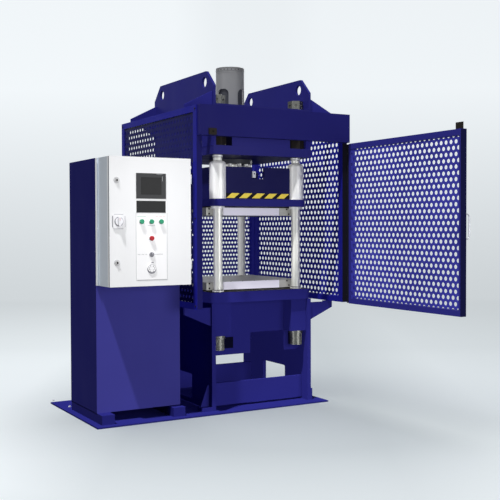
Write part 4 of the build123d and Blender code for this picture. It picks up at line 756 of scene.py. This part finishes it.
# Locks: a dark key hole, a dark ring in each lock and a grey ring round it
LOCK_X = -1.134
KEY_HOLE = [(0.0, -0.0004), (0.0066, -0.0004), (0.0066, 0.0006), (0.0, 0.0006)]
LOCK_GAP = [(0.0101, -0.001), (0.0118, -0.001), (0.0118, 0.0008), (0.0101, 0.0008)]
LOCK_RING = [(0.0172, -SUNK), (0.0186, -SUNK), (0.0186, 0.0016), (0.0172, 0.0016)]
for name in ("lock_upper", "lock_lower"):
    low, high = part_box(name)
    lock_z = (low[2] + high[2]) / 2
    bm = bmesh.new()
    add_turned(bm, (LOCK_X, low[1] + SUNK, lock_z), FRONT, KEY_HOLE, 24)
    add_turned(bm, (LOCK_X, FACE - 0.0034, lock_z), FRONT, LOCK_GAP, 36)
    piece(f"{name}_hole", bm, hole_black, name)
turned_piece("lock_rings", [((LOCK_X, FACE, z), FRONT, LOCK_RING) for z in (1.533, 1.027)], 48,
             mark_grey, BOX_DOOR)

# Light flange at the enclosure's rear edge, and the dark edge of its door's rim
body_low, body_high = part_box("enclosure_body")
flange = ((body_low[0] - 0.0010, -0.4460, body_low[2] + 0.001),
          (body_low[0] + 0.0004, -0.4214, body_high[2] - 0.001))
block_piece("enclosure_flange", [flange], flange_light, PRESS, bevel=0.0004)
edge = ((BOX_LEFT - 0.0008, -0.6250, BOX_BOTTOM + 0.001), (BOX_LEFT + 0.0004, -0.6130, BOX_TOP - 0.001))
block_piece("door_edge_line", [edge], edge_dark, BOX_DOOR)


# Cabinet

# Painted shade on the cabinet's left side: a darker panel over it, and a strip below it beside the skids
cabinet_low, cabinet_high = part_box("cabinet")
PANEL_BOTTOM, STRIP_TOP, STRIP_BOTTOM, STRIP_FRONT = 0.0715, 0.0695, 0.0120, -0.5050
MARGIN = 0.0010
bm = bmesh.new()
add_block(bm, (cabinet_low[0] - 0.0006, cabinet_low[1] + MARGIN, PANEL_BOTTOM),
          (cabinet_low[0] + 0.0004, cabinet_high[1] - MARGIN, cabinet_high[2] - MARGIN), 0.0003)
add_block(bm, (cabinet_low[0] + 0.0024, STRIP_FRONT, STRIP_BOTTOM),
          (cabinet_low[0] + 0.0034, cabinet_high[1] - MARGIN, STRIP_TOP))
piece("cabinet_side_shade", bm, cabinet_side_painted_shade, PRESS)

# Back: a bolted cover with two columns of blank louvres
COVER = 0.0022
LOUVRE_COUNT, LOUVRE_FIRST, LOUVRE_PITCH, LOUVRE_HEIGHT, LOUVRE_DEPTH = 9, 0.74, 0.045, 0.022, 0.0105
back_y = cabinet_high[1]
bm = bmesh.new()
add_block(bm, (-1.145, back_y - 0.0004, 0.62), (-0.665, back_y + COVER, 1.60), 0.0008, 2)
for i in range(LOUVRE_COUNT):
    z = LOUVRE_FIRST + i * LOUVRE_PITCH
    for x0, x1 in ((-1.09, -0.93), (-0.88, -0.72)):
        top = z + LOUVRE_HEIGHT
        places = [(x0, COVER, z), (x1, COVER, z), (x1, COVER, top), (x0, COVER, top),
                  (x0 + 0.004, LOUVRE_DEPTH, z), (x1 - 0.004, LOUVRE_DEPTH, z)]
        verts = [bm.verts.new((x, back_y + y, height)) for x, y, height in places]
        bm.faces.new((verts[4], verts[5], verts[2], verts[3]))
        bm.faces.new((verts[0], verts[4], verts[3]))
        bm.faces.new((verts[1], verts[2], verts[5]))
        bm.faces.new((verts[0], verts[1], verts[5], verts[4]))
piece("cabinet_cover", bm, cabinet_paint, PRESS)
screw_piece("cover_screws", [((x, back_y + COVER, z), BACK) for z in (0.645, 0.96, 1.27, 1.575)
                             for x in (-1.125, -0.685)], 0.0065, 0.004, PRESS)


# Guards and door

# Fixed leaf of the hinge and stop strip for the closed door, on the guards' two front posts, both dark as
# painted shade on the posts
LEAF_BACK, LEAF_BOTTOM, LEAF_TOP = -0.6316, 0.7160, 1.8310
block_piece("hinge_leaf", [((0.5530, -0.6332, LEAF_BOTTOM), (0.5915, LEAF_BACK, LEAF_TOP))],
            hinge_painted_shade, PRESS, bevel=0.0004)
block_piece("door_stop", [((-0.5900, -0.6330, LEAF_BOTTOM), (-0.5530, LEAF_BACK, LEAF_TOP))],
            stop_shade, PRESS, bevel=0.0004)

# Barrel along the hinge, dark as the hinge's painted shade, and painted shade on the outer edge of the door's
# free stile: a thin dark plate
HINGE_X, HINGE_Y = 0.600, -0.634
door_low, door_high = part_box("door_frame")
barrel_height = door_high[2] - door_low[2] - 0.008
barrel = [(0.0, 0.0), (0.0082, 0.0), (0.0082, barrel_height), (0.0, barrel_height)]
turned_piece("hinge_barrel", [((HINGE_X, HINGE_Y, door_low[2] + 0.004), UP, barrel)], 24,
             hinge_painted_shade, PRESS)
stile_shade = ((door_low[0] + 0.0006, door_low[1] - 0.0010, door_low[2] + 0.0006),
           (door_high[0] - 0.0006, door_low[1] + SUNK, door_high[2] - 0.0006))
block_piece("door_end_painted_shade", [stile_shade], door_shade, GUARD_DOOR)

# Cap screws that hold the rails of the guards together, at the sides and at the back
places = [((side * 0.592, y, z), (side, 0, 0)) for side in (-1, 1) for z in (0.735, 1.30, 2.005)
          for y in (-0.612, 0.618)]
places += [((x, 0.638, z), BACK) for x in (-0.532, 0.532) for z in (0.735, 1.668)]
screw_piece("guard_screws", places, 0.0062, 0.0042, PRESS)


# Frame

# Painted shade on the front web beside the lower nuts: thin dark plates on its face
WEB_FRONT, WEB_BACK = -0.3456, -0.3446
WEB_SHADES = ((-0.243, -0.171, 0.406, 0.484), (0.281, 0.314, 0.402, 0.500))
block_piece("web_painted_shade", [((x0, WEB_FRONT, z0), (x1, WEB_BACK, z1)) for x0, x1, z0, z1 in WEB_SHADES],
            shade_paint, PRESS)

# Weld beads: the foot of each side plate inside and outside, the crosshead, and the webs' corners
PLATE_OUTER_X, PLATE_INNER_X, FOOT_Z = 0.398, 0.368, 0.0105
bm = bmesh.new()
for side in (-1, 1):
    outer, inner, head = side * PLATE_OUTER_X, side * PLATE_INNER_X, side * 0.388
    add_weld(bm, (outer, -0.390, FOOT_Z), (outer, 0.390, FOOT_Z), (side, 0, 1))
    add_weld(bm, (inner, -0.300, FOOT_Z), (inner, 0.300, FOOT_Z), (-side, 0, 1))
    add_weld(bm, (head, -0.470, 1.7922), (head, 0.470, 1.7922), (side, 0, 1), 0.0025)
    for y, facing in ((-0.345, 1), (0.345, -1)):
        add_weld(bm, (inner, y, 0.370), (inner, y, 0.500), (-side, facing, 0))
piece("weld_beads", bm, frame_paint, PRESS, smooth=True)

# Bolts through the floor plate, at the back of the press and beside the cabinet
BASE_TOP = 0.010
ANCHORS = ((-1.205, 0.440), (-0.75, 0.440), (0.450, 0.440), (-0.10, 0.455), (-1.178, 0.165))
bm = bmesh.new()
for x, y in ANCHORS:
    add_hex_bolt(bm, (x, y, BASE_TOP), across=0.015, height=0.007, spin=0.3 + x)
piece("anchor_bolts", bm, block_steel, PRESS)


# Stage

# Directions over the floor, along and across the way the photograph looks
FLOOR_AHEAD, FLOOR_ACROSS = (0.499, 0.866, 0.0), (0.866, -0.499, 0.0)


def floor_material():
    """A pale studio floor and backdrop: lit softly, and lifted to its colour for the camera alone, less so
    near the machine as a painted shade round it.
    """
    material = bpy.data.materials.new("studio_floor")
    material.use_nodes = True
    tree = material.node_tree
    shader = tree.nodes["Principled BSDF"]
    shader.inputs["Roughness"].default_value = 0.8
    shader.inputs["Specular IOR Level"].default_value = 0.0
    place = tree.nodes.new("ShaderNodeNewGeometry").outputs["Position"]
    parts = tree.nodes.new("ShaderNodeSeparateXYZ")
    tree.links.new(place, parts.inputs["Vector"])
    ahead = measured(tree, "DOT_PRODUCT", place, FLOOR_AHEAD)
    across = measured(tree, "DOT_PRODUCT", place, FLOOR_ACROSS)
    # Painted shade round the machine: the lift towards the camera fades out within 2.6 m of it and is gone
    # within 1.5 m
    circle = ramp(tree, measured(tree, "DISTANCE", place, (0.3, -0.3, 0.0)), 0.0, 1.0, 1.5, 2.6)
    near = ramp(tree, ahead, 0.29, 0.0, -1.8, -0.4)
    far = ramp(tree, ahead, 0.0, 0.40, 2.6, 9.0)
    front = combine(tree, "MULTIPLY_ADD", circle, near, far)
    left = ramp(tree, across, 0.41, 0.0, -1.6, -0.6)
    right = ramp(tree, across, 0.0, 0.21, 0.9, 1.8)
    fade = ramp(tree, ahead, 1.0, 0.22, 2.0, 8.0)
    sides = combine(tree, "MULTIPLY_ADD", combine(tree, "ADD", left, right), fade, front)
    rim = ramp(tree, measured(tree, "DISTANCE", place, (3.5, 6.06, 0.0)), 0.0, 0.33, 11.0, 19.0)
    height = ramp(tree, parts.outputs["Z"], 0.0, 0.50, 0.0, 4.4)
    lift = combine(tree, "ADD", combine(tree, "ADD", sides, rim), height, clamp=True)
    glow = tree.nodes.new("ShaderNodeEmission")
    tree.links.new(tint(tree, lift, (0.27, 0.30, 0.315), (0.86, 0.90, 0.925)), glow.inputs["Color"])
    path = tree.nodes.new("ShaderNodeLightPath")
    bounce = tint(tree, path.outputs["Is Camera Ray"], (0.10, 0.105, 0.11), (0.50, 0.53, 0.545))
    tree.links.new(bounce, shader.inputs["Base Color"])
    seen = combine(tree, "MAXIMUM", path.outputs["Is Camera Ray"], path.outputs["Is Glossy Ray"])
    tree.links.new(seen, glow.inputs["Strength"])
    both = tree.nodes.new("ShaderNodeAddShader")
    tree.links.new(shader.outputs["BSDF"], both.inputs[0])
    tree.links.new(glow.outputs["Emission"], both.inputs[1])
    tree.links.new(both.outputs["Shader"], tree.nodes["Material Output"].inputs["Surface"])
    return material


# Floor that bends up into a backdrop, square to the way the photograph looks
YAW = math.radians(29.945)
WIDE, NEAR, BEND, BEND_RADIUS, BEND_STEPS, TALL = 80.0, -70.0, 9.0, 5.0, 16, 30.0
profile = [(NEAR, 0.0), (BEND, 0.0)]
for i in range(1, BEND_STEPS + 1):
    angle = math.radians(90 * i / BEND_STEPS)
    profile.append((BEND + BEND_RADIUS * math.sin(angle), BEND_RADIUS * (1 - math.cos(angle))))
profile.append((BEND + BEND_RADIUS, TALL))
turn = Matrix.Rotation(-YAW, 3, "Z")
verts = [turn @ Vector((x, y, z)) for y, z in profile for x in (-WIDE, WIDE)]
faces = [(2 * i, 2 * i + 1, 2 * i + 3, 2 * i + 2) for i in range(len(profile) - 1)]
floor_mesh = bpy.data.meshes.new("studio_floor")
floor_mesh.from_pydata(verts, [], faces)
floor_mesh.shade_smooth()
floor_mesh.materials.append(floor_material())
floor = bpy.data.objects.new("studio_floor", floor_mesh)
scene = bpy.context.scene
scene.collection.objects.link(floor)


# Camera, fitted to the machine's edges in the photograph

SENSOR = 36.0
FOCAL_PIXELS, IMAGE_PIXELS = 893.936, 500.0
PITCH, ROLL = math.radians(1.484), math.radians(-0.166)
CAMERA_PLACE = (-3.1562, -5.7653, 1.2454)
camera_data = bpy.data.cameras.new("camera")
camera_data.sensor_width = SENSOR
camera_data.sensor_fit = "HORIZONTAL"
camera_data.lens = SENSOR * FOCAL_PIXELS / IMAGE_PIXELS
camera_data.clip_end = 100.0
camera = bpy.data.objects.new("camera", camera_data)
scene.collection.objects.link(camera)
forward = Vector((math.sin(YAW) * math.cos(PITCH), math.cos(YAW) * math.cos(PITCH), -math.sin(PITCH)))
right = Vector((math.cos(YAW), -math.sin(YAW), 0.0))
up = right.cross(forward)
right_rolled = right * math.cos(ROLL) + up * math.sin(ROLL)
up_rolled = -right * math.sin(ROLL) + up * math.cos(ROLL)
axes = Matrix((right_rolled, up_rolled, -forward)).transposed().to_4x4()
camera.matrix_world = Matrix.Translation(CAMERA_PLACE) @ axes
scene.camera = camera


# Light

def add_lamp(name, data, direction):
    """Puts a lamp in the scene, turned to shine in a direction."""
    obj = bpy.data.objects.new(name, data)
    scene.collection.objects.link(obj)
    obj.rotation_euler = Vector(direction).to_track_quat("-Z", "Y").to_euler()
    return obj


def area_light(name, place, target, size, power):
    """Adds a rectangular lamp that shines from a place at a target."""
    data = bpy.data.lights.new(name, "AREA")
    data.shape = "RECTANGLE"
    data.size, data.size_y = size
    data.energy = power
    obj = add_lamp(name, data, Vector(target) - Vector(place))
    obj.location = place
    obj.visible_camera = False
    return obj


def sun_light(name, direction, power, angle, shadow=True):
    """Adds a sun of a width in degrees."""
    data = bpy.data.lights.new(name, "SUN")
    data.energy = power
    data.angle = math.radians(angle)
    data.use_shadow = shadow
    return add_lamp(name, data, direction)


def receivers(name, prefixes=("",), without=None):
    """Collects the object's pieces that a lamp lights, chosen by how their names begin."""
    group = bpy.data.collections.new(name)
    for obj in scene.objects:
        if obj.type != "MESH" or obj is floor or not obj.name.startswith(prefixes):
            continue
        if not without or not obj.name.startswith(without):
            group.objects.link(obj)
    return group


# Pieces that stay out of the side light, out of the rear light, and in the panel light
SHADED = ("cabinet", "enclosure", "display", "control_plate", "button", "mode_selector", "lock_", "switch",
          "main_switch", "side_plate_left", "base_plate", "foot_gussets", "label", "plate_rim", "sounder",
          "selector", "door_gasket", "perforated_left")
BRIGHT = ("cylinder_hood", "hood_", "column_", "slide_sleeves", "sleeve_")
PANEL = ("enclosure", "control_plate", "plate_rim", "switch_plate", "switch_edges", "main_switch", "lock_")
everything = receivers("key_receivers")
ground = bpy.data.collections.new("ground_receivers")
ground.objects.link(floor)
key_sun = sun_light("key_sun", (0.338, 0.20, -1.0), 4.7, 1.8)
fill_sun = sun_light("fill_sun", (-0.30, 0.95, 0.02), 0.95, 20.0, shadow=False)
side_sun = sun_light("side_sun", (0.98, 0.15, -0.10), 1.05, 20.0, shadow=False)
front_soft = area_light("front_soft", (1.4, -5.4, 1.3), (-0.3, 0, 1.1), (2.6, 2.0), 110)
back_soft = area_light("back_soft", (2.6, 5.6, 3.6), (0, 0, 1.2), (3.0, 3.0), 80)
overhead = area_light("overhead", (0, 0, 7.0), (0, 0, 0), (7.0, 7.0), 420)
rear_sun = sun_light("rear_sun", (-0.78, -0.60, -0.12), 1.7, 20.0, shadow=False)
panel_soft = area_light("panel_soft", (-0.90, -1.20, 1.40), (-0.90, -0.62, 1.40), (0.4, 0.4), 1.15)
for lamp in (key_sun, fill_sun, front_soft, back_soft):
    lamp.light_linking.receiver_collection = everything
side_sun.light_linking.receiver_collection = receivers("side_receivers", without=SHADED)
rear_sun.light_linking.receiver_collection = receivers("rear_receivers", without=BRIGHT)
panel_soft.light_linking.receiver_collection = receivers("panel_receivers", prefixes=PANEL)
overhead.light_linking.receiver_collection = ground

# World: dim as light, bright where the camera or a reflection sees it
world = bpy.data.worlds.new("studio")
scene.world = world
world.use_nodes = True
world_tree = world.node_tree
background = world_tree.nodes["Background"]
background.inputs["Color"].default_value = (0.93, 0.97, 1.0, 1.0)
world_path = world_tree.nodes.new("ShaderNodeLightPath")
seen = combine(world_tree, "MAXIMUM", world_path.outputs["Is Camera Ray"],
               world_path.outputs["Is Glossy Ray"])
world_tree.links.new(ramp(world_tree, seen, 0.07, 0.86, 0.0, 1.0), background.inputs["Strength"])
scene.view_settings.view_transform = "Standard"
